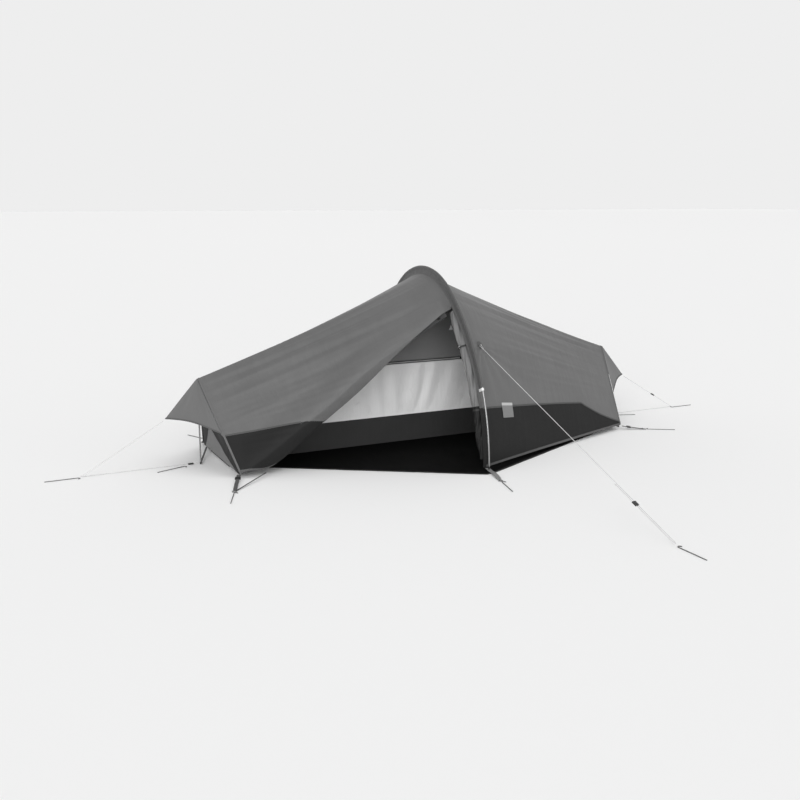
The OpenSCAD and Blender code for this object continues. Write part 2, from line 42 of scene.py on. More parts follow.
# ---- Studio ----
# A pale floor under a pale sky that is a little dimmer overhead, and one wide soft lamp from
# the door side. The camera stands on the door side, to the left of the hoop.
scene.view_settings.view_transform = "Standard"
CAMERA_PLACE = (-2.548, -4.915, 1.375)
CAMERA_DOWN = 11.69
CAMERA_RIGHT = 26.19
SKY, ZENITH = 0.855, 0.40
camera_data = bpy.data.cameras.new("camera")
camera_data.lens = 43.05
camera_data.sensor_width = 36
camera = bpy.data.objects.new("camera", camera_data)
camera.location = CAMERA_PLACE
camera.rotation_euler = Euler((math.radians(90 - CAMERA_DOWN), 0, math.radians(-CAMERA_RIGHT)))
scene.collection.objects.link(camera)
scene.camera = camera


def soft_sun(name, towards, strength, spread):
    """A distant lamp that shines along towards, with its disc spread degrees wide."""
    data = bpy.data.lights.new(name, "SUN")
    data.energy = strength
    data.angle = math.radians(spread)
    lamp = bpy.data.objects.new(name, data)
    lamp.rotation_euler = Vector(towards).to_track_quat("-Z", "Y").to_euler()
    scene.collection.objects.link(lamp)


soft_sun("key_light", (0.45, 0.75, -0.30), 2.3, 50)
soft_sun("top_light", (-0.3, 0.2, -1.0), 0.55, 60)


class Wire:
    """A shader value: arithmetic on it adds Math nodes, and node() adds any other node."""

    def __init__(self, tree, socket=None):
        self.tree, self.socket = tree, socket

    def node(self, kind, settings=None, out=0, **values):
        """Adds a node. A value's key is its socket's number after an s, or its name."""
        made = self.tree.nodes.new("ShaderNode" + kind)
        for key, value in (settings or {}).items():
            if key == "stops":
                while len(made.color_ramp.elements) < len(value):
                    made.color_ramp.elements.new(0.5)
                for stop, (place, grey) in zip(made.color_ramp.elements, value):
                    stop.position = place
                    stop.color = (grey, grey, grey, 1)
            else:
                setattr(made, key, value)
        for key, value in values.items():
            numbered = key[0] == "s" and key[1:].isdigit()
            socket = made.inputs[int(key[1:]) if numbered else key.replace("_", " ")]
            if isinstance(value, Wire):
                self.tree.links.new(value.socket, socket)
            else:
                socket.default_value = value
        return Wire(self.tree, made.outputs[out])

    def math(self, operation, *others):
        values = dict(zip(("s0", "s1", "s2"), (self, *others)))
        return self.node("Math", {"operation": operation}, **values)

    def __add__(self, other):
        return self.math("ADD", other)

    def __sub__(self, other):
        return self.math("SUBTRACT", other)

    def __rsub__(self, other):
        return self.math("MULTIPLY_ADD", -1.0, other)

    def __mul__(self, other):
        return self.math("MULTIPLY", other)

    def mix(self, low, high):
        """From colour low to colour high, by this value."""
        return self.node("Mix", {"data_type": "RGBA"}, 2, s0=self, s6=low, s7=high)

    def into(self, shader, socket):
        self.tree.links.new(self.socket, shader.inputs[socket])

    __radd__ = __add__
    __rmul__ = __mul__


SHARP = 0.8


def grey(value):
    return (value, value, value, 1)


def new_material(name, roughness):
    """A material, its Principled shader and a wire to start from."""
    material = bpy.data.materials.new(name)
    material.use_nodes = True
    shader = material.node_tree.nodes["Principled BSDF"]
    shader.inputs["Roughness"].default_value = roughness
    return material, shader, Wire(material.node_tree)


def as_object(name, bm, smooth=True):
    """Turns a bmesh into an object at the origin, smooth except at its sharp edges."""
    for edge in bm.edges:
        edge.smooth = edge.calc_face_angle(0) < SHARP
    data = bpy.data.meshes.new(name)
    bm.to_mesh(data)
    bm.free()
    if smooth:
        data.shade_smooth()
    obj = bpy.data.objects.new(name, data)
    scene.collection.objects.link(obj)
    return obj


world = bpy.data.worlds.new("studio")
world.use_nodes = True
background = world.node_tree.nodes["Background"]
wire = Wire(world.node_tree)
overhead = wire.node("SeparateXYZ", out=2, s0=wire.node("TexCoord"))
dome = wire.node("MapRange", s0=overhead, s1=0.25, s2=1.0, s3=0.0, s4=1.0)
dome.mix(grey(SKY), grey(ZENITH)).into(background, "Color")
scene.world = world

floor_material, shader, wire = new_material("studio_floor", 0.9)
speckle = wire.node("TexNoise", s2=2.0)
speckle.mix(grey(0.87), grey(0.885)).into(shader, "Base Color")
shader.inputs["Specular IOR Level"].default_value = 0
bm = bmesh.new()
bmesh.ops.create_grid(bm, x_segments=1, y_segments=1, size=150)
floor = as_object("floor", bm)
floor.location.z = -0.0005
floor.data.materials.append(floor_material)

# ---- Guylines ----
# Pale braided polyester cord, 3 mm. The front line runs from a patch on the flysheet round its
# peg and back through a slider to a stopper knot. Each end line runs from the hood's tip round
# its peg and back along the ground to the strut's foot.
CORD_D = 0.003
FRONT_LINE = [
    (97, -548, 603), (97, -1300, 314), (97, -2060, 22), (96, -2084, 14), (93, -2092, 11),
    (89, -2084, 14), (88, -2060, 22), (88, -1700, 160),
]
RIGHT_LINE = [
    (1507, 0, 255), (1700, 0, 143), (1914, 0, 19), (1928, 1, 12), (1936, 6, 9),
    (1930, 12, 7), (1910, 13, 5), (1600, 13, 5), (1335, 13, 5),
]
LEFT_LINE = [(-x, y, z) for x, y, z in RIGHT_LINE]


def metres(points):
    return [Vector(p) / 1000 for p in points]


def put(obj, slot, material, replaces=(), body=TENT):
    """Gives a finished piece its material, its body and the CAD nodes it stands for; slot is not
    used.
    """
    obj.data.materials.clear()
    obj.data.materials.append(material)
    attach(obj, body)
    if replaces:
        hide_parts(*replaces)
    return obj


cord_material, shader, wire = new_material("guyline_braid", 0.6)
place = wire.node("TexCoord", out=3)
plait = wire.node("TexWave", {"bands_direction": "DIAGONAL"}, s0=place, s1=260.0, s2=2.0)
plait.mix(grey(0.42), grey(0.68)).into(shader, "Base Color")
wire.node("Bump", s0=0.5, s1=0.0004, s3=plait).into(shader, "Normal")


def cord_curve(name, points, thickness):
    """A round cord as a poly curve through points."""
    data = bpy.data.curves.new(name, "CURVE")
    data.dimensions = "3D"
    data.bevel_depth = thickness / 2
    data.bevel_resolution = 4
    data.use_fill_caps = True
    spline = data.splines.new("POLY")
    spline.points.add(len(points) - 1)
    for target, p in zip(spline.points, points):
        target.co = (*p, 1)
    obj = bpy.data.objects.new(name, data)
    scene.collection.objects.link(obj)
    return obj


def guyline(name, route, node):
    points = metres(route)
    line = cord_curve(name, points, CORD_D)
    put(line, "guyline_cord", cord_material, [node])


guyline("front_cord", FRONT_LINE, "front_guyline")
guyline("left_cord", LEFT_LINE, "left_guyline")
guyline("right_cord", RIGHT_LINE, "right_guyline")

# The stopper knot on the front line's tail: a tight round turn of the same cord.
KNOT_TURNS = 2.5
tail = metres(FRONT_LINE[-2:])
tail_way = (tail[1] - tail[0]).normalized()
tail_side = tail_way.cross(Vector((0, 0, 1))).normalized()
knot_points = []
for i in range(31):
    turn = i / 30 * KNOT_TURNS * 2 * math.pi
    ring = tail_side * math.cos(turn) + tail_side.cross(tail_way) * math.sin(turn)
    knot_points.append(tail[1] + tail_way * (0.007 * i / 30 - 0.009) + ring * 0.0026)
put(cord_curve("front_cord_knot", knot_points, CORD_D), "guyline_cord", cord_material)

# ---- Poles ----
# Thin-walled anodised alloy tubes: eight sections of the hoop on their ferrules and elastic
# cord, and an upright strut at each end, with moulded tips, clips and pressed eyelets.


def dress(material, *nodes):
    """Gives CAD nodes a material."""
    for node in nodes:
        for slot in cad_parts[node].material_slots:
            slot.material = material


alloy, shader, wire = new_material("pole_alloy", 0.35)
place = wire.node("TexCoord", out=3)
drawn = wire.node("TexNoise", s0=wire.node("Mapping", s0=place, s3=(900, 60, 60)), s2=1.0, s3=6.0)
drawn.mix(grey(0.22), grey(0.34)).into(shader, "Base Color")
(drawn * 0.2 + 0.24).into(shader, "Roughness")
shader.inputs["Metallic"].default_value = 0.85
hoop_nodes = [f"{side}_pole_{part}" for side in ("front", "back")
              for part in ("top", "upper", "middle", "foot")]
dress(alloy, "pole_ferrules", "left_strut", "right_strut", *hoop_nodes)

bare_metal, shader, wire = new_material("bare_metal", 0.3)
place = wire.node("TexCoord", out=3)
scuff = wire.node("TexNoise", s0=place, s2=320.0, s3=5.0)
scuff.mix(grey(0.30), grey(0.52)).into(shader, "Base Color")
(scuff * 0.35 + 0.18).into(shader, "Roughness")
wire.node("Bump", s0=0.15, s1=0.0003, s3=scuff).into(shader, "Normal")
shader.inputs["Metallic"].default_value = 1.0
dress(bare_metal, "peg_rings", "pole_eyelets")

peg_metal, shader, wire = new_material("peg_alloy", 0.4)
place = wire.node("TexCoord", out=3)
soil = wire.node("TexNoise", s0=place, s2=60.0, s3=6.0)
soil.mix(grey(0.10), grey(0.24)).into(shader, "Base Color")
(soil * 0.4 + 0.2).into(shader, "Roughness")
shader.inputs["Metallic"].default_value = 0.8
dress(peg_metal, "pegs")


def plastic(name, low, high, roughness):
    """Moulded plastic with a fine spark-eroded grain."""
    material, shader, wire = new_material(name, roughness)
    place = wire.node("TexCoord", out=3)
    grain = wire.node("TexNoise", s0=place, s2=1400.0, s3=3.0)
    cloud = wire.node("TexNoise", s0=place, s2=35.0, s3=4.0)
    cloud.mix(grey(low), grey(high)).into(shader, "Base Color")
    wire.node("Bump", s0=0.25, s1=0.0002, s3=grain).into(shader, "Normal")
    return material


dark_plastic = plastic("dark_acetal", 0.012, 0.022, 0.42)
pale_plastic = plastic("pale_clip_plastic", 0.62, 0.74, 0.45)
dress(dark_plastic, "pole_tips", "front_guy_slider", "left_guy_slider", "right_guy_slider",
      "door_zip_slider", "door_toggle", "inner_zip_slider", "front_left_buckle",
      "front_right_buckle", "back_left_buckle", "back_right_buckle")
dress(pale_plastic, "pole_clips")

shock, shader, wire = new_material("shock_cord", 0.7)
place = wire.node("TexCoord", out=3)
plait = wire.node("TexWave", {"bands_direction": "DIAGONAL"}, s0=place, s1=500.0, s2=1.0)
plait.mix(grey(0.5), grey(0.75)).into(shader, "Base Color")
dress(shock, "pole_shock_cord")

# ---- Pole sleeve ----
# A tunnel of the flysheet's cloth, folded over the hoop and sewn through below the pole, so
# that a flat fin stands between the pole and the sheet. The cloth draws up a little at the
# stitches.
HOOP_HEIGHT, HOOP_HALF, HOOP_SHIFT = 1.014, 0.750, 0.040
TOP_RADIUS, TOP_ANGLE = 0.500, math.radians(38.5)
POLE_R = 0.0045
FIN_DEPTH = 0.040
HEM_Z = 0.030
bend_out = TOP_RADIUS * math.sin(TOP_ANGLE)
bend_up = HOOP_HEIGHT - TOP_RADIUS + TOP_RADIUS * math.cos(TOP_ANGLE)
to_foot = Vector((HOOP_HALF - bend_out, -bend_up))
tangent = Vector((math.sin(TOP_ANGLE), math.cos(TOP_ANGLE)))
SIDE_RADIUS = -to_foot.length_squared / (2 * to_foot.dot(tangent))
side_in = bend_out - SIDE_RADIUS * math.sin(TOP_ANGLE)
side_up = bend_up - SIDE_RADIUS * math.cos(TOP_ANGLE)
TOP_LEN = TOP_RADIUS * TOP_ANGLE
HALF_LEN = TOP_LEN + SIDE_RADIUS * (math.atan2(HOOP_HALF - side_in, -side_up) - TOP_ANGLE)
HEM_S = HALF_LEN - HEM_Z
SLEEVE_S = HALF_LEN - 0.440


def hoop_angle(s):
    """Angle of the hoop from upright, s metres along it from its top; + is the door side."""
    if abs(s) <= TOP_LEN:
        return s / TOP_RADIUS
    return math.copysign(TOP_ANGLE + (abs(s) - TOP_LEN) / SIDE_RADIUS, s)


def hoop_normal(s):
    return Vector((0, -math.sin(hoop_angle(s)), math.cos(hoop_angle(s))))


def hoop_point(s, inset=0.0, across=0.0):
    """Point at s along the hoop, moved inwards by inset and along X by across."""
    if abs(s) <= TOP_LEN:
        centre = Vector((across, -HOOP_SHIFT, HOOP_HEIGHT - TOP_RADIUS))
        return centre + (TOP_RADIUS - inset) * hoop_normal(s)
    centre = Vector((across, -HOOP_SHIFT - math.copysign(1, s) * side_in, side_up))
    return centre + (SIDE_RADIUS - inset) * hoop_normal(s)


def ripple(x, y=0.0, z=0.0):
    """Smooth noise between about -1 and 1."""
    return noise.noise(Vector((x, y, z)))


CLOTH_T = 0.0006
flat_area = {}


def thicken(name, bm, thickness):
    flat_area[name] = sum(face.calc_area() for face in bm.faces)
    if thickness:
        bmesh.ops.solidify(bm, geom=bm.faces[:], thickness=thickness)
        bmesh.ops.recalc_face_normals(bm, faces=bm.faces[:])


def cloth(name, columns, rows, place, size, thickness=CLOTH_T):
    """A grid of cloth: place(s, t) gives the point at each share of its width and length.
    Its UV map is in metres of flat cloth."""
    bm = bmesh.new()
    cut = bm.loops.layers.uv.new("cut")
    bmesh.ops.create_grid(bm, x_segments=columns, y_segments=rows, size=0.5, calc_uvs=True)
    for face in bm.faces:
        for loop in face.loops:
            loop[cut].uv = ((loop.vert.co.x + 0.5) * size[0], (loop.vert.co.y + 0.5) * size[1])
    for vert in bm.verts:
        vert.co = place(vert.co.x + 0.5, vert.co.y + 0.5)
    thicken(name, bm, thickness)
    return as_object(name, bm)


def cloth_material(name, low, high, roughness=0.62, streak=0.5, sheen=0.12, shine=0.5):
    """Coated ripstop nylon: fine threads, a heavier thread every 6 mm, slightly uneven dye, and
    soft creases that are bumped and also painted into the colour as long streaks of shade and
    light."""
    material, shader, wire = new_material(name, roughness)
    cut = wire.node("UVMap", {"uv_map": "cut"})
    across = cut.node("SeparateXYZ", s0=cut)
    along = cut.node("SeparateXYZ", out=1, s0=cut)
    threads = [(way * (2 * math.pi / 0.006)).math("COSINE").math("POWER", 24.0)
               for way in (across, along)]
    ripstop = threads[0].math("MAXIMUM", threads[1])
    fine = wire.node("TexNoise", s0=cut, s2=900.0, s3=2.0)
    crease_pulls_and_shade = wire.node("TexNoise", s0=wire.node("Mapping", s0=cut, s3=(26, 4, 1)), s2=1.0, s3=5.0)
    dye = wire.node("TexNoise", s0=cut, s2=3.2, s3=4.0)
    # The long stretched noise darkens and lightens the colour in streaks: painted shade and light
    # of the creases. The same noise also drives the crease bump.
    tone = dye * 0.5 + crease_pulls_and_shade * 0.35 + fine * 0.15
    (tone - ripstop * 0.08).mix(grey(low), grey(high)).into(shader, "Base Color")
    relief = wire.node("Bump", s0=streak, s1=0.004, s3=crease_pulls_and_shade)
    wire.node("Bump", s0=0.25, s1=0.0002, s3=fine + ripstop * 0.6, s4=relief).into(
        shader, "Normal")
    shader.inputs["Specular IOR Level"].default_value = shine
    shader.inputs["Sheen Weight"].default_value = sheen
    shader.inputs["Sheen Roughness"].default_value = 0.5
    return material


# fly_cloth and the darker skirt cloth below are lit and shaded copies of one flysheet cloth. The
# real sheet is one colour and thin enough for light to shine through it. It looks lighter where
# nothing stands behind it and darker where the dark tray does, and these two tones paint that light
# and shade in.
fly_cloth = cloth_material("fly_cloth", 0.068, 0.115, streak=0.9)
sleeve_cloth = cloth_material("sleeve_cloth", 0.045, 0.08)
shaded_fly_cloth = cloth_material("shaded_fly_cloth", 0.011, 0.018, 0.62, 0.5, 0.0, 0.15)

SLEEVE_HALF_PROFILE = [(FIN_DEPTH - 0.001, 0.0022), (0.026, 0.0018), (0.0125, 0.0016),
                       (0.0085, 0.0034), (0.0045, 0.0052), (0, 0.0062), (-0.0044, 0.0044),
                       (-0.0062, 0)]
sleeve_profile = [(inset, -x) for inset, x in SLEEVE_HALF_PROFILE]
sleeve_profile += [(inset, x) for inset, x in reversed(SLEEVE_HALF_PROFILE[:-1])]


def along_profile(profile, t):
    """Point at share t of the way through a list of pairs."""
    at = t * (len(profile) - 1)
    i = min(int(at), len(profile) - 2)
    a, b = profile[i], profile[i + 1]
    return a[0] + (b[0] - a[0]) * (at - i), a[1] + (b[1] - a[1]) * (at - i)


def sleeve_place(t, share):
    s = (share * 2 - 1) * SLEEVE_S
    inset, x = along_profile(sleeve_profile, t)
    loose = min(max((inset + 0.004) / 0.014, 0), 1)
    pucker = 0.0011 * ripple(s * 38, inset * 40, 2) + 0.0006 * ripple(s * 95, inset * 60, 5)
    return hoop_point(s, inset, x + loose * pucker)


sleeve = cloth("sleeve_cloth_tunnel", 28, 420, sleeve_place, (0.11, 2 * SLEEVE_S), 0.0005)
put(sleeve, "sleeve_fabric", sleeve_cloth, ["pole_sleeve"])
2 * SLEEVE_S

# ---- Flysheet ----
# One sheet of coated nylon on each side of the hoop. It is ruled between the hoop and the end
# seam, sags a little along the ridge, and carries long soft creases where it is pulled.
APEX = Vector((1.320, 0, 0.465))
CORNER_X, CORNER_Y = 1.215, 0.355
RIDGE_SAG = 0.016
SEAM_X = 0.003
FLY_U0 = 0.004
LEFT_SKIRT = [(0, 0.62), (0.4, 0.69), (1, 0.72)]
RIGHT_SKIRT = [(0, 0.96), (0.29, 0.74), (1, 0.775)]
FOLD_LINE = [(0, 0.99), (0.05, 0.935), (0.24, 0.735), (0.43, 0.58), (0.62, 0.455),
             (0.86, 0.36), (1, 0.31)]
OPEN_LINE = [(0, 1), (0.12, 0.96), (0.29, 0.78), (0.39, 0.685), (0.54, 0.57), (0.7, 0.46),
             (0.81, 0.4), (1, 0.315)]
PATCH_U, PATCH_W = 0.924, 0.488
HEM_DROP = 0.016
# Each crease: where it crosses the end seam and the hoop, as w, its width and its depth
LEFT_CREASES = [
    (0.07, 0.11, 0.018, 0.007), (0.11, 0.17, 0.016, -0.007), (0.17, 0.22, 0.018, 0.007),
    (0.23, 0.25, 0.018, -0.005), (0.3, 0.27, 0.022, 0.006), (0.42, 0.28, 0.022, -0.004),
    (0.52, 0.3, 0.022, 0.005), (-0.12, -0.16, 0.02, 0.006), (-0.3, -0.34, 0.03, 0.006),
    (-0.5, -0.5, 0.03, -0.005),
]
RIGHT_CREASES = [
    (0.06, 0.2, 0.016, 0.006), (0.1, 0.25, 0.016, -0.006), (0.16, 0.3, 0.018, 0.005),
    (0.3, 0.4, 0.02, -0.004), (0.42, 0.46, 0.025, 0.005), (-0.1, -0.15, 0.02, 0.006),
    (-0.26, -0.3, 0.03, 0.006), (-0.5, -0.52, 0.03, -0.005),
]


def straight(x, table):
    """The value at x of a table of pairs, along straight lines between them."""
    for (x0, y0), (x1, y1) in zip(table, table[1:]):
        if x <= x1:
            return y0 + (y1 - y0) * (x - x0) / (x1 - x0)
    return table[-1][1]


def lookup(x, table):
    """The value at x of a table of pairs, along a smooth line through them."""
    i = 0
    while i < len(table) - 2 and x > table[i + 1][0]:
        i += 1
    (x0, y0), (x1, y1) = table[i], table[i + 1]
    before, after = table[max(i - 1, 0)], table[min(i + 2, len(table) - 1)]
    slope0 = (y1 - before[1]) / (x1 - before[0])
    slope1 = (after[1] - y0) / (after[0] - x0)
    step = x1 - x0
    t = min(max((x - x0) / step, 0), 1)
    start, finish = (1 + 2 * t) * (1 - t) ** 2, t * t * (3 - 2 * t)
    return (start * y0 + t * (1 - t) ** 2 * step * slope0 + finish * y1
            + t * t * (t - 1) * step * slope1)


def fly_raw(u, w):
    """Right half of the surface: u from the strut to the hoop, w from hem to hem."""
    s = w * HEM_S
    corner = Vector((CORNER_X, -math.copysign(CORNER_Y, w), HEM_Z))
    end = APEX.lerp(corner, abs(w))
    sag = RIDGE_SAG * (1 - w * w) * 4 * u * (1 - u)
    return end.lerp(hoop_point(s, FIN_DEPTH, SEAM_X), u) - sag * hoop_normal(s)


def fly_normal(u, w):
    step = 0.01
    du = fly_raw(min(u + step, 1), w) - fly_raw(max(u - step, 0), w)
    low = 1 + HEM_DROP
    dw = fly_raw(u, min(w + step, low)) - fly_raw(u, max(w - step, -low))
    return du.cross(dw).normalized()


def w_length(u):
    """Metres of cloth to one unit of w, across the sheet at u."""
    return 0.571 + (HEM_S - 0.571) * u


def crease(side, u, w):
    """How far the cloth stands off the smooth surface."""
    span = max(math.sin(math.pi * u), 0)
    off = 0.0034 * span * ripple(u * 1.3 + 9 * side, w * 30, 4)
    off += 0.0026 * span * ripple(u * 4, w * 11 + 5 * side, 8)
    for at_end, at_hoop, width, depth in LEFT_CREASES if side < 0 else RIGHT_CREASES:
        away = (w - at_end - (at_hoop - at_end) * u) / width
        uneven = 0.7 + 0.5 * ripple(u * 3, at_end * 40)
        off += depth * uneven * span ** 0.6 * math.exp(-away * away)
    gather = math.exp(-(1 - u) / 0.03) + 0.6 * math.exp(-u / 0.02)
    off += 0.0013 * gather * ripple(w * 42, 1 + side)
    if side > 0:
        x, y = (PATCH_U - u) * 1.35, (w - PATCH_W) * 1.35
        reach = math.hypot(x, y)
        below = min(max(y / (reach + 1e-6) + 0.45, 0), 1)
        rays = math.cos(15 * math.atan2(x, y + 1e-6)) * below
        off += 0.0055 * rays * math.exp(-reach / 0.24) * min(reach / 0.04, 1)
    return off


def door_curl(u, w):
    """The left sheet's door edge: it stands up over the zip, then turns in past its fold."""
    past = (w - lookup(u, FOLD_LINE)) * w_length(u)
    ends = min(u / 0.08, (1 - u) / 0.06, 1)
    lift = lookup(u, ZIP_LIFT) * ends * ends * (3 - 2 * ends)
    if past < 0:
        rise = max(1 + past / CURL_WIDTH, 0)
        return lift * rise * rise * (3 - 2 * rise)
    turned = max(past - ZIP_COVER, 0)
    return lift - 0.1 * past - 0.7 * turned - 5 * turned * turned


CURL_WIDTH = 0.16
ZIP_COVER = 0.022
# How far the sheet stands off above the zip, along u
ZIP_LIFT = [(0, 0.022), (0.24, 0.032), (0.5, 0.039), (0.63, 0.044), (0.85, 0.032), (1, 0.026)]


def fly(side, u, w, out=0.0):
    """Point of the creased flysheet, lifted out along its normal; side is -1 left, 1 right."""
    curl = door_curl(u, w) if side < 0 and w > 0 else 0
    p = fly_raw(u, w) + (out + crease(side, u, w) + curl) * fly_normal(u, w)
    return Vector((side * p.x, p.y, p.z))


def declare(piece, width, length):
    """Works out a piece's flat area clamped to a rectangle of width and length, then drops it."""
    area = flat_area[piece.name]
    min(max(area, 0.301 * width * length), width * length)


def fly_piece(name, side, w0, w1, u0, u1, columns, rows, material, slot, replaces=(), out=0.0):
    """A piece of cloth on the flysheet, between two lines w0(u) and w1(u)."""

    def place(s, t):
        u = u0 + (u1 - u0) * s
        return fly(side, u, w0(u) + (w1(u) - w0(u)) * t, out)

    width = (u1 - u0) * 1.42
    length = max(abs(w1(u) - w0(u)) * w_length(u) for u in (u0, (u0 + u1) / 2, u1)) * 1.01
    piece = cloth(name, columns, rows, place, (width, length))
    put(piece, slot, material, replaces)
    declare(piece, width, length)
    return piece


def left_front_top(u):
    return min(straight(u, LEFT_SKIRT), lookup(u, FOLD_LINE))


def back_top(u):
    return -straight(u, LEFT_SKIRT)


def hem(u):
    """The hem's w on the door side: it comes down to the ground at the hoop's foot."""
    return 1 + HEM_DROP * u


def back_hem(u):
    return -hem(u)


def right_front_top(u):
    return straight(u, RIGHT_SKIRT)


def fold(u):
    return lookup(u, FOLD_LINE)


fly_piece("fly_left", -1, back_top, left_front_top, FLY_U0, 1, 110, 190, fly_cloth,
          "fly_fabric", ["fly_left_front", "fly_left_back"])
fly_piece("fly_right", 1, back_top, right_front_top, FLY_U0, 1, 110, 220, fly_cloth,
          "fly_fabric", ["fly_right_front", "fly_right_back"])

# ---- Skirts and hems ----
# The lower band of the flysheet is a separate piece, lapped under the upper sheet and joined
# with a flat seam. Its dark colour is painted shade: the real sheet is one thin cloth that light
# shines through, and it looks darker where the dark tray stands behind it. On the closed half's
# door side the band narrows to almost nothing at the corner, where the tray ends. Its hem is
# folded over twice.
LAP = 0.004
SKIRT_END_U = 0.325
skirts = [
    ("skirt_left_front", -1, lambda u: straight(u, LEFT_SKIRT) - LAP,
     lambda u: max(fold(u), straight(u, LEFT_SKIRT) + 0.001), FLY_U0, SKIRT_END_U, 30, 24),
    ("skirt_left_back", -1, back_hem, lambda u: back_top(u) + LAP, FLY_U0, 1, 90, 36),
    ("skirt_right_front", 1, lambda u: right_front_top(u) - LAP, hem, FLY_U0, 1, 90, 36),
    ("skirt_right_back", 1, back_hem, lambda u: back_top(u) + LAP, FLY_U0, 1, 90, 36),
]
for node, side, w0, w1, u0, u1, columns, rows in skirts:
    fly_piece(node + "_cloth", side, w0, w1, u0, u1, columns, rows, shaded_fly_cloth,
              "skirt_fabric", [node], -0.0008)


def stitched(name, low, high, rows_at, thread, pitch=0.0035):
    """A sewn strip: woven tape with rows of running stitch at rows_at metres from its edge."""
    material, shader, wire = new_material(name, 0.7)
    cut = wire.node("UVMap", {"uv_map": "cut"})
    along = cut.node("SeparateXYZ", s0=cut)
    across = cut.node("SeparateXYZ", out=1, s0=cut)
    dash = (along * (1 / pitch)).math("FRACT").math("LESS_THAN", 0.68)
    row = None
    for at in rows_at:
        near = (across - at).math("ABSOLUTE").math("LESS_THAN", 0.00045)
        row = near if row is None else row.math("MAXIMUM", near)
    stitch = dash * row
    weave = wire.node("TexNoise", s0=cut, s2=1100.0, s3=2.0)
    cloud = wire.node("TexNoise", s0=cut, s2=18.0, s3=4.0)
    ground = (weave * 0.4 + cloud * 0.6).mix(grey(low), grey(high))
    stitch.mix(ground, grey(thread)).into(shader, "Base Color")
    relief = weave * 0.3 + stitch * 0.7 - row * 0.25
    wire.node("Bump", s0=0.5, s1=0.0004, s3=relief).into(shader, "Normal")
    return material


SEAM_W = 0.009
seam_tape = stitched("seam_tape", 0.045, 0.07, (0.002, 0.007), 0.02)
# A lighter tape for the end seams: painted highlight along their folded edges.
seam_highlight = stitched("seam_highlight_tape", 0.075, 0.115, (0.003,), 0.05)
hem_tape = stitched("hem_tape", 0.055, 0.085, (0.003, 0.010), 0.03)


def fly_strip(name, side, line, width, u0, u1, steps, material, slot, out=0.0009):
    """A narrow strip sewn along a line w(u) of the flysheet."""

    def place(s, t):
        u = u0 + (u1 - u0) * s
        w = line(u) + (t - 0.5) * width / w_length(u)
        return fly(side, u, min(max(w, back_hem(u)), hem(u)), out)

    strip = cloth(name, steps, 4, place, ((u1 - u0) * 1.42, width), 0.0008)
    return put(strip, slot, material)


fly_strip("seam_left_front", -1, lambda u: straight(u, LEFT_SKIRT), SEAM_W, FLY_U0, 0.3, 60,
          seam_tape, "fly_fabric")
fly_strip("seam_left_back", -1, back_top, SEAM_W, FLY_U0, 1, 160, seam_tape, "fly_fabric")
fly_strip("seam_right_front", 1, right_front_top, SEAM_W, FLY_U0, 1, 160, seam_tape,
          "fly_fabric")
fly_strip("seam_right_back", 1, back_top, SEAM_W, FLY_U0, 1, 160, seam_tape, "fly_fabric")
HEM_TAPE_W = 0.013
for name, side, back in (("hem_left_back", -1, -1), ("hem_right_front", 1, 1),
                         ("hem_right_back", 1, -1)):
    fly_strip(name, side, lambda u: back * (hem(u) - 0.5 * HEM_TAPE_W / w_length(u)), HEM_TAPE_W,
              FLY_U0, 1, 160, hem_tape, "fly_fabric")


def end_strip(name, side, back, u0, u1, w0, w1, out, material, slot, columns=6, rows=120):
    """A strip that runs down beside an end seam, between w0 and w1."""

    def place(s, t):
        return fly(side, u0 + (u1 - u0) * s, back * (w0 + (w1 - w0) * t), out)

    strip = cloth(name, columns, rows, place, ((u1 - u0) * 1.42, (w1 - w0) * 0.571), 0.0008)
    return put(strip, slot, material)


# The end seams take the lighter tape, a painted highlight along each folded edge.
for side, half in ((-1, "left"), (1, "right")):
    for back, face in ((1, "front"), (-1, "back")):
        end_strip(f"end_seam_{half}_{face}", side, back, 0.0005, 0.0085, 0.0, 0.99, 0.0012,
                  seam_highlight, "fly_fabric")

# ---- Hoop seam ----
# The sheets meet the sleeve's fin in one bound seam that follows the hoop down to both feet.


def hoop_seam_point(s, at):
    inset, x = along_profile([(FIN_DEPTH + 0.0025, -0.010), (FIN_DEPTH - 0.0015, -0.0065),
                              (FIN_DEPTH - 0.006, -0.0032), (FIN_DEPTH - 0.006, 0.0032),
                              (FIN_DEPTH - 0.0015, 0.0065), (FIN_DEPTH + 0.0025, 0.010)], s)
    return hoop_point(at, inset + 0.0007 * ripple(at * 55, x * 300), x)


LOW_SEAM_S = 0.775 * HEM_S
SEAM_END_S = HEM_S * (1 + HEM_DROP)
# Below LOW_SEAM_S the seam takes the shaded cloth, carrying on the skirts' painted shade.
for name, start, finish, material, slot in (
        ("hoop_seam", -LOW_SEAM_S, LOW_SEAM_S, sleeve_cloth, "fly_fabric"),
        ("hoop_seam_front_low", LOW_SEAM_S, SEAM_END_S, shaded_fly_cloth, "skirt_fabric"),
        ("hoop_seam_back_low", -SEAM_END_S, -LOW_SEAM_S, shaded_fly_cloth, "skirt_fabric")):
    length = finish - start
    seam = cloth(name, 10, int(length * 150),
                 lambda s, t: hoop_seam_point(s, start + length * t), (0.022, length), 0.0008)
    put(seam, slot, material)
    declare(seam, 0.03, length)

# ---- Hoods and end panels ----
# Each end closes with a sloping panel. Above it the cloth runs on past the strut as a pointed
# hood: two triangles with hollowed lower edges, pulled out by the end guyline.
HOOD_DOWN = 0.6
HOOD_OUT, HOOD_DROP = 0.180, 0.200
HOOD_HOLLOW = 0.020
end_cloth = cloth_material("end_cloth", 0.075, 0.12)


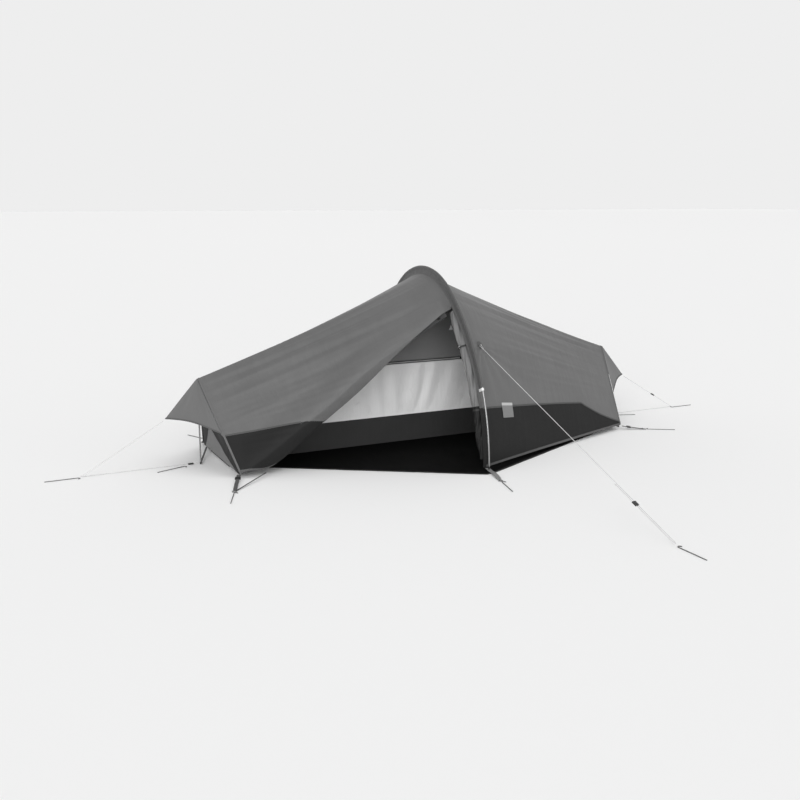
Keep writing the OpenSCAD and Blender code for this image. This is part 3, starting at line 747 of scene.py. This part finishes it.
def hood_edge(k):
    """Lower edge of a right-hand hood, from the front seam (-1) over the tip (0) to the back."""
    tip = Vector((APEX.x + HOOD_OUT, 0, APEX.z - HOOD_DROP))
    foot = APEX.lerp(Vector((CORNER_X, 0, HEM_Z)), HOOD_DOWN)
    foot = Vector((foot.x + 0.003, math.copysign(HOOD_DOWN * CORNER_Y, k), foot.z))
    hollow = HOOD_HOLLOW * math.sin(math.pi * abs(k)) ** 0.9
    p = tip.lerp(foot, abs(k))
    return p + hollow * (APEX - p).normalized()


def hood_place(side):
    def place(s, t):
        k = s * 2 - 1
        top = APEX + Vector((0.002, 0, 0.0015))
        p = top.lerp(hood_edge(k), 0.01 + 0.99 * t)
        slack = 0.006 * math.sin(math.pi * t) * math.sin(math.pi * min(abs(k), 1))
        folds = 0.0025 * t * ripple(k * 7, t * 1.6, side) * (1 - abs(k)) ** 0.3
        p += (folds - slack) * Vector((0.6, math.copysign(0.5, k) * min(abs(k) * 4, 1), 0.6))
        return Vector((side * p.x, p.y, p.z))
    return place


def hood_hem_place(side):
    body = hood_place(side)

    def place(s, t):
        return body(s, 1.0 - 0.035 * (1 - t)) + Vector((side * 0.0009, 0, 0.0006))
    return place


END_TOP, END_LOW, END_IN = 0.03, 1.03, 0.955


def end_place(side, lift=0.0):
    def place(s, t):
        g = END_TOP + (END_LOW - END_TOP) * t
        p = APEX.lerp(Vector((CORNER_X, 0, HEM_Z)), g) - Vector((0.005, 0, 0.004))
        k = s * 2 - 1
        belly = 0.008 * math.sin(math.pi * s) * math.sin(math.pi * t)
        rough = 0.0025 * ripple(s * 4, t * 9, side + 3) * math.sin(math.pi * s)
        return Vector((side * (p.x - belly + rough + lift), k * g * CORNER_Y * END_IN, p.z))
    return place


for side, half in ((-1, "left"), (1, "right")):
    hood = cloth(f"{half}_hood_cloth", 72, 40, hood_place(side), (0.52, 0.30))
    put(hood, "fly_fabric", end_cloth, [f"{half}_hood"])
    declare(hood, 0.56, 0.36)
    tape = cloth(f"{half}_hood_hem", 90, 3, hood_hem_place(side), (0.6, 0.010), 0.0008)
    put(tape, "fly_fabric", hem_tape)
    panel = cloth(f"{half}_end_panel_cloth", 50, 60, end_place(side), (0.62, 0.44))
    put(panel, "fly_fabric", end_cloth, [f"{half}_end_panel"])
    declare(panel, 0.68, 0.44)
    # Dark corner patches of the shaded cloth, wide at the front corner and narrow at the back,
    # carry the skirts' painted shade onto each end panel.
    for face, low_s in (("front", 0), ("back", 1)):
        body = end_place(side, 0.0012)

        def corner_place(s, t, body=body, low_s=low_s):
            width = (0.68 if low_s == 0 else 0.26) * (1 - 0.86 * t)
            return body(abs(low_s - s * width), 0.60 + 0.395 * t)

        dark = cloth(f"{half}_end_shade_patch_{face}", 16, 20, corner_place, (0.17, 0.15))
        put(dark, "skirt_fabric", shaded_fly_cloth)

# ---- Open door ----
# The left half's door edge folds back on itself into a turned-in strip beside the opening.
# The door cloth itself is rolled up along the hoop's leg, held by two elastic ties with a
# toggle, and it gathers into a twist at the foot.


def open_edge(u):
    return max(lookup(u, OPEN_LINE), fold(u) + 0.004)


def strip_split(u):
    """Where the strip changes from the upper cloth to the shaded one, in line with the skirt's
    painted shade.
    """
    return min(max(straight(u, LEFT_SKIRT), fold(u)), open_edge(u))


fly_piece("door_strip", -1, fold, lambda u: strip_split(u) + 0.001, 0.295, 0.99, 90, 14,
          fly_cloth, "fly_fabric", ["door_edge_strip"], 0.0)
fly_piece("door_strip_low", -1, lambda u: strip_split(u) - 0.001, open_edge, 0.006, 0.40, 60,
          14, shaded_fly_cloth, "skirt_fabric", (), 0.0)
CORNER_HEM_W = 0.013


def corner_hem_place(s, t):
    u = 0.006 + 0.154 * s
    w = open_edge(u) - CORNER_HEM_W * (1 - 0.93 * s) * t / w_length(u)
    return fly(-1, u, w, 0.0016)


corner_hem = cloth("door_corner_hem", 60, 4, corner_hem_place, (0.22, CORNER_HEM_W), 0.0008)
put(corner_hem, "fly_fabric", hem_tape)

ROLL_IN, ROLL_R = 0.080, 0.030
ROLL_START, ROLL_END = 0.33, 0.985
ROLL_DARK = 0.765
TIE_S = (0.5, 0.78)


def roll_radius(s, angle):
    """Radius of the gathered door, s as a share of the hoop's length to the hem."""
    r = ROLL_R * (0.93 + 0.16 * ripple(s * 5, 2))
    for tie in TIE_S:
        r *= 1 - 0.17 * math.exp(-((s - tie) / 0.022) ** 2)
    low = min(max((s - 0.8) / 0.17, 0), 1)
    r *= 1 - 0.5 * low * low
    top = min(max((0.42 - s) / 0.09, 0), 1)
    r *= 1 - 0.45 * top * top
    twist = angle + 9 * s + 7 * max(s - 0.8, 0)
    folds = 0.12 * math.sin(3 * twist + 2 * ripple(s * 6, 7)) + 0.07 * math.sin(7 * twist + 3)
    small = 0.11 * ripple(math.cos(angle) * 2, math.sin(angle) * 2, s * 26)
    return r * (1 + folds + small)


def roll_place(start, end):
    def place(t, share):
        s = start + (end - start) * share
        angle = 2 * math.pi * t
        r = roll_radius(s, angle)
        up, across = r * 0.86 * math.cos(angle), r * 1.08 * math.sin(angle)
        rise = 0.018 * min(max((0.42 - s) / 0.09, 0), 1)
        rise += 0.014 * min(max((s - 0.82) / 0.16, 0), 1)
        return hoop_point(s * HEM_S, ROLL_IN - up - rise, across)
    return place


roll_cloth = cloth_material("roll_cloth", 0.11, 0.17, streak=0.8)
roll = cloth("rolled_door_cloth", 72, 150, roll_place(ROLL_START, ROLL_DARK), (0.22, 0.6), 0)
put(roll, "fly_fabric", roll_cloth, ["rolled_door"])
declare(roll, 0.26, (ROLL_DARK - ROLL_START) * HEM_S * 1.06)
# The roll's lower part takes the shaded cloth, carrying on the skirts' painted shade.
roll = cloth("rolled_door_low", 72, 90, roll_place(ROLL_DARK, ROLL_END), (0.22, 0.3), 0)
put(roll, "skirt_fabric", shaded_fly_cloth)
declare(roll, 0.26, (ROLL_END - ROLL_DARK) * HEM_S * 1.06)

elastic = stitched("elastic_band", 0.012, 0.03, (0.005,), 0.05)


def tie_place(tie):
    def place(s, t):
        angle = 2 * math.pi * t
        at = tie + (s - 0.5) * 0.010 / HEM_S
        r = roll_radius(at, angle) * 0.4 + ROLL_R * 0.83 * 0.6 + 0.0018
        return hoop_point(at * HEM_S, ROLL_IN - r * 0.9 * math.cos(angle),
                          r * 1.1 * math.sin(angle))
    return place


for number, tie in enumerate(TIE_S):
    band = cloth(f"door_tie_{number + 1}", 4, 72, tie_place(tie), (0.010, 0.2), 0.0012)
    put(band, "webbing", elastic)
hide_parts("door_ties")

# The loop of thin elastic that the toggle hangs on.
toggle_at = hoop_point(TIE_S[0] * HEM_S, ROLL_IN, -0.037)
loop_points = []
for i in range(25):
    turn = 2 * math.pi * i / 24
    loop_points.append(toggle_at + Vector((0.006 + 0.008 * math.cos(turn), 0,
                                           0.0045 * math.sin(turn))))
put(cord_curve("toggle_loop", loop_points, 0.002), "shock_cord", shock)

# ---- Door zip ----
# A coil zip on woven tape runs down inside the fold of the door, with its slider near the top.
ZIP_POINTS = metres([(-58, -412, 783), (-490, -396, 536), (-950, -376, 214), (-1120, -368, 92)])
ZIP_W = 0.024
COIL_PITCH = 0.004
zip_tape = stitched("zip_tape", 0.012, 0.02, (0.003, 0.021), 0.05)
zip_way = (ZIP_POINTS[1] - ZIP_POINTS[0]).normalized()
zip_across = zip_way.cross(Vector((0, -1, 0))).normalized()
zip_flat = Vector((0, -0.5, -0.87))


def zip_run(at):
    """Point and direction at a distance in metres along the zip."""
    for a, b in zip(ZIP_POINTS, ZIP_POINTS[1:]):
        if at <= (b - a).length or b is ZIP_POINTS[-1]:
            return a.lerp(b, at / (b - a).length), (b - a).normalized()
        at -= (b - a).length


zip_length = sum((b - a).length for a, b in zip(ZIP_POINTS, ZIP_POINTS[1:]))


def zip_place(s, t):
    p, way = zip_run(zip_length * s)
    across = way.cross(Vector((0, 0.87, -0.5))).normalized()
    return p + across * (t - 0.5) * ZIP_W


tape = cloth("door_zip_tape", 240, 4, zip_place, (zip_length, ZIP_W), 0.0006)
put(tape, "zip_coil", zip_tape, ["door_zip"])


def coil(name, run, length, side_way, lift, material):
    """Interlocked teeth of a coil zip: one small block to each pitch, alternately offset."""
    bm = bmesh.new()
    for i in range(int(length / COIL_PITCH)):
        p, way = run((i + 0.5) * COIL_PITCH)
        across = way.cross(side_way).normalized()
        up = across.cross(way)
        turn = Matrix((way, across, up)).transposed().to_4x4()
        shift = Matrix.Translation(p + up * lift + across * (0.0006 if i % 2 else -0.0006))
        size = Matrix.Diagonal((COIL_PITCH * 0.62, 0.0046, 0.0018, 1))
        bmesh.ops.create_cube(bm, size=1, matrix=shift @ turn @ size)
    obj = as_object(name, bm, smooth=False)
    return put(obj, "zip_coil", material)


coil("door_zip_coil", zip_run, zip_length, Vector((0, 0.87, -0.5)), 0.0006, dark_plastic)

# ---- Guy patch and label ----
# A round patch of doubled cloth with a webbing loop takes the front guyline, and a plain
# woven label is sewn on the closed half.


def fly_blob(name, side, u, w, radius_u, radius_w, out, round_edge, columns=24):
    """A patch on the flysheet: a disc where round_edge, else a rectangle."""

    def place(s, t):
        a, b = s * 2 - 1, t * 2 - 1
        if round_edge:
            a, b = a * math.sqrt(1 - b * b / 2), b * math.sqrt(1 - a * a / 2)
        return fly(side, u + a * radius_u, w + b * radius_w, out)

    return cloth(name, columns, columns, place, (radius_u * 2.7, radius_w * 2.5), 0.0010)


patch = fly_blob("guy_patch_cloth", 1, PATCH_U, PATCH_W, 0.017, 0.0175, 0.002, True)
put(patch, "webbing", hem_tape, ["guy_patch"])
patch_at = fly(1, PATCH_U, PATCH_W, 0.003)
line_start = metres(FRONT_LINE)[0]
loop_points = [patch_at + Vector((0.004 * k, 0, 0.003 * k)) for k in (-1, 1)]
loop_points = [loop_points[0], line_start + Vector((-0.002, 0, 0)), line_start,
               line_start + Vector((0.002, 0, 0)), loop_points[1]]
put(cord_curve("guy_patch_loop", loop_points, 0.003), "webbing", cord_material)

label_cloth, shader, wire = new_material("label_weave", 0.6)
cut = wire.node("UVMap", {"uv_map": "cut"})
damask = wire.node("TexNoise", s0=cut, s2=700.0, s3=2.0)
band = cut.node("SeparateXYZ", out=1, s0=cut).math("LESS_THAN", 0.016)
band.mix(damask.mix(grey(0.13), grey(0.19)), damask.mix(grey(0.34), grey(0.46))).into(
    shader, "Base Color")
wire.node("Bump", s0=0.3, s1=0.0003, s3=damask).into(shader, "Normal")
label = fly_blob("plain_label", 1, 0.834, 0.785, 0.034, 0.034, 0.0014, False, 12)
put(label, "fly_fabric", label_cloth)

# ---- Groundsheet ----
# Black coated cloth that lies flat under the inner tent and across the porch, with a bound
# edge and a few packed-in creases.
GROUND_OUTLINE = metres([(-1200, -115, 0), (-50, -855, 0), (15, -838, 0), (1200, -278, 0),
                         (1200, 250, 0), (0, 640, 0), (-1200, 250, 0)])
ground_cloth = cloth_material("groundsheet_cloth", 0.002, 0.005, 0.6, 0.4, 0.0, 0.03)


def cut_to(bm, outline, inset=0.0):
    """Cuts a flat bmesh down to an outline whose corners run anticlockwise."""
    for a, b in zip(outline, outline[1:] + outline[:1]):
        away = (b - a).cross(Vector((0, 0, 1))).normalized()
        bmesh.ops.bisect_plane(bm, geom=bm.verts[:] + bm.edges[:] + bm.faces[:],
                               plane_co=a - away * inset, plane_no=away, clear_outer=True)


bm = bmesh.new()
cut = bm.loops.layers.uv.new("cut")
bmesh.ops.create_grid(bm, x_segments=170, y_segments=110, size=1.25)
cut_to(bm, GROUND_OUTLINE)
for face in bm.faces:
    for loop in face.loops:
        loop[cut].uv = loop.vert.co.xy
for vert in bm.verts:
    x, y = vert.co.xy
    fold_mark = math.exp(-abs(x + 0.35) / 0.006) + math.exp(-abs(y + 0.42) / 0.006)
    vert.co.z = 0.0016 + 0.0012 * ripple(x * 7, y * 7) + 0.0012 * fold_mark
thicken("groundsheet_cloth", bm, CLOTH_T)
groundsheet = as_object("groundsheet_cloth", bm)
put(groundsheet, "groundsheet_fabric", ground_cloth, ["groundsheet"])
declare(groundsheet, 2.4, 1.495)

BINDING_W = 0.012
binding_material = stitched("groundsheet_binding", 0.008, 0.014, (0.004, 0.009), 0.02)
edge = GROUND_OUTLINE + GROUND_OUTLINE[:1]
for number, (a, b) in enumerate(zip(edge, edge[1:])):
    inward = (b - a).cross(Vector((0, 0, -1))).normalized()

    def binding_place(s, t, a=a, b=b, inward=inward):
        p = a.lerp(b, s) + inward * (t * BINDING_W)
        return p + Vector((0, 0, 0.0032 + 0.0006 * ripple(p.x * 20, p.y * 20)))

    strip = cloth(f"groundsheet_binding_{number + 1}", 60, 3, binding_place,
                  ((b - a).length, BINDING_W), 0.0008)
    put(strip, "groundsheet_fabric", binding_material)

# ---- Inner tent ----
# A waterproof tray floor, light breathable walls that hang from the hoop and the end struts,
# and an insect mesh door above a zip. The front wall stands upright behind the porch.
INNER_HALF, INNER_FRONT, INNER_BACK, INNER_END = 1.100, -0.030, 0.560, 0.190
TRAY_H, ZIP_Z = 0.160, 0.470
ROOF_Z, END_ROOF_Z = 0.915, 0.420
inner_cloth = cloth_material("inner_cloth", 0.70, 0.82, 0.75, 0.8, 0.2)
tray_cloth = cloth_material("tray_cloth", 0.024, 0.034, 0.5, 0.5, 0.05, 0.3)


def roof_x(z):
    """Half of the inner tent's length at height z."""
    return min(INNER_HALF, INNER_HALF * (ROOF_Z - z) / (ROOF_Z - END_ROOF_Z))


def drape(x, down):
    """Folds of the hanging front wall, deepest just below its gathered top."""
    depth = math.sin(math.pi * min(down, 1)) ** 0.5 * (1 - 0.55 * down)
    lean = x + 0.10 * down * down * math.sin(x * 5 + 1)
    wave = math.sin(lean * 46 + 2.2 * ripple(lean * 4, 1)) + 0.6 * ripple(lean * 21, down * 1.5)
    fine = 0.5 * math.exp(-down / 0.12) * ripple(lean * 95, down * 2, 3)
    return depth * (0.0052 * wave + 0.004 * fine) + 0.0016 * ripple(x * 9, down * 6, 5)


def front_wall_place(s, t):
    z = TRAY_H + 0.0005 + (ZIP_Z - TRAY_H - 0.0015) * t
    x = (s * 2 - 1) * roof_x(z)
    return Vector((x, INNER_FRONT + 0.001 + drape(x, 1 - t), z))


wall = cloth("inner_front_cloth", 420, 50, front_wall_place, (2.2, 0.31), 0.0005)
put(wall, "inner_fabric", inner_cloth, ["inner_front_panel"])
declare(wall, 2.24, 0.33)

mesh_net, shader, wire = new_material("mesh_net", 0.8)
cut = wire.node("UVMap", {"uv_map": "cut"})
threads = [(cut.node("SeparateXYZ", out=k, s0=cut) * (1 / 0.0024)).math("FRACT")
           .math("LESS_THAN", 0.42) for k in (0, 1)]
net = threads[0].math("MAXIMUM", threads[1])
haze = wire.node("TexNoise", s0=cut, s2=5.0, s3=3.0)
haze.mix(grey(0.18), grey(0.24)).into(shader, "Base Color")
(net * 0.3 + 0.7).into(shader, "Alpha")


def mesh_place(s, t):
    z = ZIP_Z + (ROOF_Z - ZIP_Z) * (1 - (1 - t) ** 1.0) * 0.985
    x = (s * 2 - 1) * roof_x(z)
    slack = 0.004 * ripple(x * 2.2, z * 3) * min((z - ZIP_Z) / 0.1, 1)
    return Vector((x, INNER_FRONT + 0.001 + slack, z))


net_piece = cloth("inner_mesh_cloth", 120, 60, mesh_place, (1.9, 0.45), 0)
put(net_piece, "mesh_fabric", mesh_net, ["inner_mesh_panel"])
declare(net_piece, 1.99, 0.45)


def back_wall_place(s, t):
    u, v = s * 2 - 1, 0.02 + 0.98 * t
    k = 1 - abs(u)
    hoop = hoop_point(-v * (HALF_LEN - TRAY_H - 0.004), 0.100)
    end = Vector((0, INNER_FRONT + 0.002 + v * (INNER_END - INNER_FRONT - 0.002),
                  END_ROOF_Z + v * (TRAY_H + 0.002 - END_ROOF_Z)))
    p = end.lerp(hoop, k)
    rough = 0.004 * ripple(u * 5, v * 3, 6) * math.sin(math.pi * v)
    return Vector((u * INNER_HALF, p.y + (1 - v) * 0.012 * k + rough, p.z + 0.4 * rough))


wall = cloth("inner_back_cloth", 160, 90, back_wall_place, (2.2, 1.1), 0.0005)
put(wall, "inner_fabric", inner_cloth, ["inner_back_wall"])
declare(wall, 2.3, 1.2)

for side, half in ((-1, "left"), (1, "right")):

    def end_wall_place(s, t, side=side):
        low = Vector((0, INNER_FRONT + 0.003 + (INNER_END - INNER_FRONT - 0.011) * s,
                      TRAY_H + 0.001))
        top = Vector((0, INNER_FRONT + 0.003, END_ROOF_Z - 0.012))
        p = low.lerp(top, t * 0.985)
        p.x = side * (INNER_HALF - 0.002 - 0.006 * math.sin(math.pi * s) * math.sin(math.pi * t))
        return p

    wall = cloth(f"inner_end_{half}", 20, 24, end_wall_place, (0.21, 0.25), 0.0005)
    put(wall, "inner_fabric", inner_cloth)
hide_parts("inner_end_panels")

# The tray: a flat floor with walls turned up at its edge, softly creased.
TRAY_OUTLINE = [Vector(p) for p in (
    (-INNER_HALF, INNER_FRONT, 0), (INNER_HALF, INNER_FRONT, 0), (INNER_HALF, INNER_END, 0),
    (0, INNER_BACK, 0), (-INNER_HALF, INNER_END, 0))]
TRAY_Z = 0.0035
bm = bmesh.new()
cut = bm.loops.layers.uv.new("cut")
bmesh.ops.create_grid(bm, x_segments=120, y_segments=60, size=1.15)
cut_to(bm, TRAY_OUTLINE, 0.002)
rim = [e for e in bm.edges if e.is_boundary]
for ring in range(9):
    grown = bmesh.ops.extrude_edge_only(bm, edges=rim)["geom"]
    lifted = [v for v in grown if isinstance(v, bmesh.types.BMVert)]
    bmesh.ops.translate(bm, verts=lifted, vec=(0, 0, (TRAY_H - TRAY_Z) / 9))
    rim = [e for e in grown if isinstance(e, bmesh.types.BMEdge)
           and all(v in set(lifted) for v in e.verts)]
for face in bm.faces:
    for loop in face.loops:
        x, y, z = loop.vert.co
        loop[cut].uv = (x, y + z if abs(face.normal.z) < 0.5 else y)
for vert in bm.verts:
    x, y, z = vert.co
    rise = math.sin(math.pi * min(z / (TRAY_H - TRAY_Z), 1))
    soft = 0.0022 * ripple(x * 9, y * 9, z * 14) * rise
    vert.co = Vector((x, y + soft, z + TRAY_Z + (0.0004 * ripple(x * 8, y * 8) if z < 1e-4 else 0)))
bmesh.ops.recalc_face_normals(bm, faces=bm.faces[:])
thicken("tray_cloth_floor", bm, CLOTH_T)
tray = as_object("tray_cloth_floor", bm)
put(tray, "tray_fabric", tray_cloth, ["inner_floor"])
declare(tray, 2.52, 0.92)

# The zip between wall and mesh, and the white tab and loops that hang the inner tent.
INNER_ZIP_HALF = 0.620


def inner_zip_place(s, t):
    return Vector((INNER_ZIP_HALF * (s * 2 - 1), INNER_FRONT - 0.0014, ZIP_Z + (t - 0.5) * 0.016))


pale_tape = stitched("pale_zip_tape", 0.55, 0.70, (0.002, 0.014), 0.4)
tape = cloth("inner_zip_tape", 160, 4, inner_zip_place, (2 * INNER_ZIP_HALF, 0.016), 0.0006)
put(tape, "zip_coil", pale_tape, ["inner_zip"])


def inner_zip_run(at):
    return Vector((at - INNER_ZIP_HALF, INNER_FRONT - 0.002, ZIP_Z)), Vector((1, 0, 0))


coil("inner_zip_coil", inner_zip_run, 2 * INNER_ZIP_HALF, Vector((0, -1, 0)), 0.0,
     pale_plastic)
white_web = stitched("white_webbing", 0.80, 0.92, (0.002, 0.010), 0.6)


def tab_place(s, t):
    half = 0.014 * (1 - 0.97 * t)
    return Vector((0.186 + half * (s * 2 - 1), INNER_FRONT - 0.0035 - 0.001 * math.sin(math.pi * t),
                   0.641 + 0.028 * t))


hangers = [cloth("white_tab", 10, 12, tab_place, (0.028, 0.028), 0.0012)]
for number, x in enumerate((-0.9, -0.45, 0, 0.45, 0.9)):
    z = END_ROOF_Z - 0.008 + (ROOF_Z - END_ROOF_Z) * (1 - abs(x) / INNER_HALF)

    def loop_place(s, t, x=x, z=z):
        bend = 0.0015 * math.sin(math.pi * t)
        return Vector((x + 0.012 * (s - 0.5), INNER_FRONT - 0.002 - bend, z + 0.026 * t))

    hangers.append(cloth(f"hanger_{number + 1}", 4, 12, loop_place, (0.012, 0.026), 0.0012))
for hanger in hangers:
    put(hanger, "clip_plastic", white_web)
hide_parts("inner_hangers")

# ---- Straps ----
# Flat webbing from each corner of the flysheet to its peg ring, narrowed where it passes
# round the ring and doubled back through a slide. The hoop's feet stand in eyelets in two
# wider straps.
STRAP_W, STRAP_T = 0.0195, 0.0009
RING_MID = 0.010
webbing = stitched("webbing_weave", 0.05, 0.11, (0.003, 0.017), 0.16, 0.005)
pale_webbing = stitched("pale_webbing", 0.16, 0.26, (0.003, 0.022), 0.3, 0.005)


def ring_strap(name, start, ring, width, material, back=0.06, narrow=0.013, replaces=()):
    """Webbing from start to a ring, round its near side and back on top of itself."""
    run = ring - start
    reach = run.length - RING_MID
    way = run.normalized()
    level = way.cross(Vector((0, 0, 1))).normalized()
    up = level.cross(way)
    wrap = 0.0026
    turn = math.pi * wrap
    whole = reach + turn + back

    def place(s, t):
        at = whole * t
        if at < reach:
            along, lift = at, -0.0005
        elif at < reach + turn:
            angle = (at - reach) / wrap
            along, lift = reach + wrap * math.sin(angle), wrap * (1 - math.cos(angle)) - 0.0005
        else:
            along = reach - (at - reach - turn)
            lift = 0.0005 + (2 * wrap - 0.001) * math.exp(-(at - reach - turn) / 0.006)
        near = min(max((reach - along) / 0.03, 0), 1)
        half = (narrow + (width - narrow) * near) / 2
        p = start + way * along + up * lift + level * half * (s * 2 - 1)
        p.z = max(p.z, 0.001)
        return p

    strap = cloth(name, 6, 150, place, (width, whole), STRAP_T)
    return put(strap, "webbing", material, replaces)


CORNERS = [
    ("front_left", (-1219, -361, 22), (-1305, -572, 2)),
    ("front_right", (1221, -359, 22), (1345, -420, 2)),
    ("back_left", (-1215, 363, 22), (-1145, 505, 2)),
    ("back_right", (1215, 363, 22), (1145, 505, 2)),
]
for name, start, ring in CORNERS:
    start, ring = metres([start, ring])
    back = min(0.10, (ring - start).length * 0.5)
    strap = ring_strap(f"{name}_webbing", start, ring, STRAP_W, webbing, back)
    if name.startswith("front"):
        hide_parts(f"{name}_strap")
    elif name == "back_left":
        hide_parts("back_straps")
door_corner, ring_fl = metres([(-1085, -392, 24), (-1305, -572, 2)])
ring_strap("door_corner_webbing", door_corner, ring_fl, 0.008, webbing, 0.03, 0.007)
strut_foot, end_corner = metres([(-1318, 10, 6), (-1222, 240, 30)])
ring_strap("left_strut_webbing", end_corner, strut_foot, 0.010, webbing, 0.03, 0.009)
strut_foot, end_corner = metres([(1318, 10, 6), (1222, 240, 30)])
ring_strap("right_strut_webbing", end_corner, strut_foot, 0.010, webbing, 0.03, 0.009)

EYELET_R = 0.0081
FOOT_W = 0.025
FOOT_Z = 0.004


def foot_strap(name, foot, ring):
    """A wide strap under a foot of the hoop: a square with a round hole, run out both ways."""
    way = (ring - foot).normalized()
    side_way = way.cross(Vector((0, 0, 1)))
    bm = bmesh.new()
    cut = bm.loops.layers.uv.new("cut")
    hole = bmesh.ops.create_circle(bm, segments=32, radius=EYELET_R)["verts"]
    square = bmesh.ops.create_circle(bm, segments=32, radius=FOOT_W / 2)["verts"]
    for vert in square:
        stretch = FOOT_W / 2 / max(abs(vert.co.x), abs(vert.co.y))
        vert.co.x *= stretch
        vert.co.y *= stretch
    loops = [e for e in bm.edges]
    bmesh.ops.bridge_loops(bm, edges=loops)
    run = (ring - foot).length - RING_MID - FOOT_W / 2
    for end, length, count in ((1, run, 24), (-1, 0.018, 3)):
        edge = [e for e in bm.edges if all(abs(v.co.x - end * FOOT_W / 2) < 1e-6 for v in e.verts)]
        for step in range(count):
            grown = bmesh.ops.extrude_edge_only(bm, edges=edge)["geom"]
            moved = [v for v in grown if isinstance(v, bmesh.types.BMVert)]
            bmesh.ops.translate(bm, verts=moved, vec=(end * length / count, 0, 0))
            edge = [e for e in grown if isinstance(e, bmesh.types.BMEdge)
                    and all(v in set(moved) for v in e.verts)]
    for face in bm.faces:
        for loop in face.loops:
            loop[cut].uv = (loop.vert.co.x, loop.vert.co.y + FOOT_W / 2)
    for vert in bm.verts:
        x, y = vert.co.xy
        near = min(max((FOOT_W / 2 + run - x) / 0.03, 0), 1)
        y *= 0.52 + 0.48 * near
        z = FOOT_Z + 0.006 * math.sin(math.pi * min(max((x - FOOT_W / 2) / run, 0), 1)) ** 2
        vert.co = foot.xy.to_3d() + way * x + side_way * y + Vector((0, 0, z))
    bmesh.ops.recalc_face_normals(bm, faces=bm.faces[:])
    thicken(name, bm, STRAP_T)
    strap = as_object(name, bm)
    return put(strap, "webbing", pale_webbing)


front_foot = Vector((0, -HOOP_SHIFT - HOOP_HALF, 0))
back_foot = Vector((0, -HOOP_SHIFT + HOOP_HALF, 0))
first = foot_strap("front_foot_webbing", front_foot, Vector((-0.050, -0.985, 0)))
foot_strap("back_foot_webbing", back_foot, Vector((0, 0.900, 0)))
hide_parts("foot_straps")
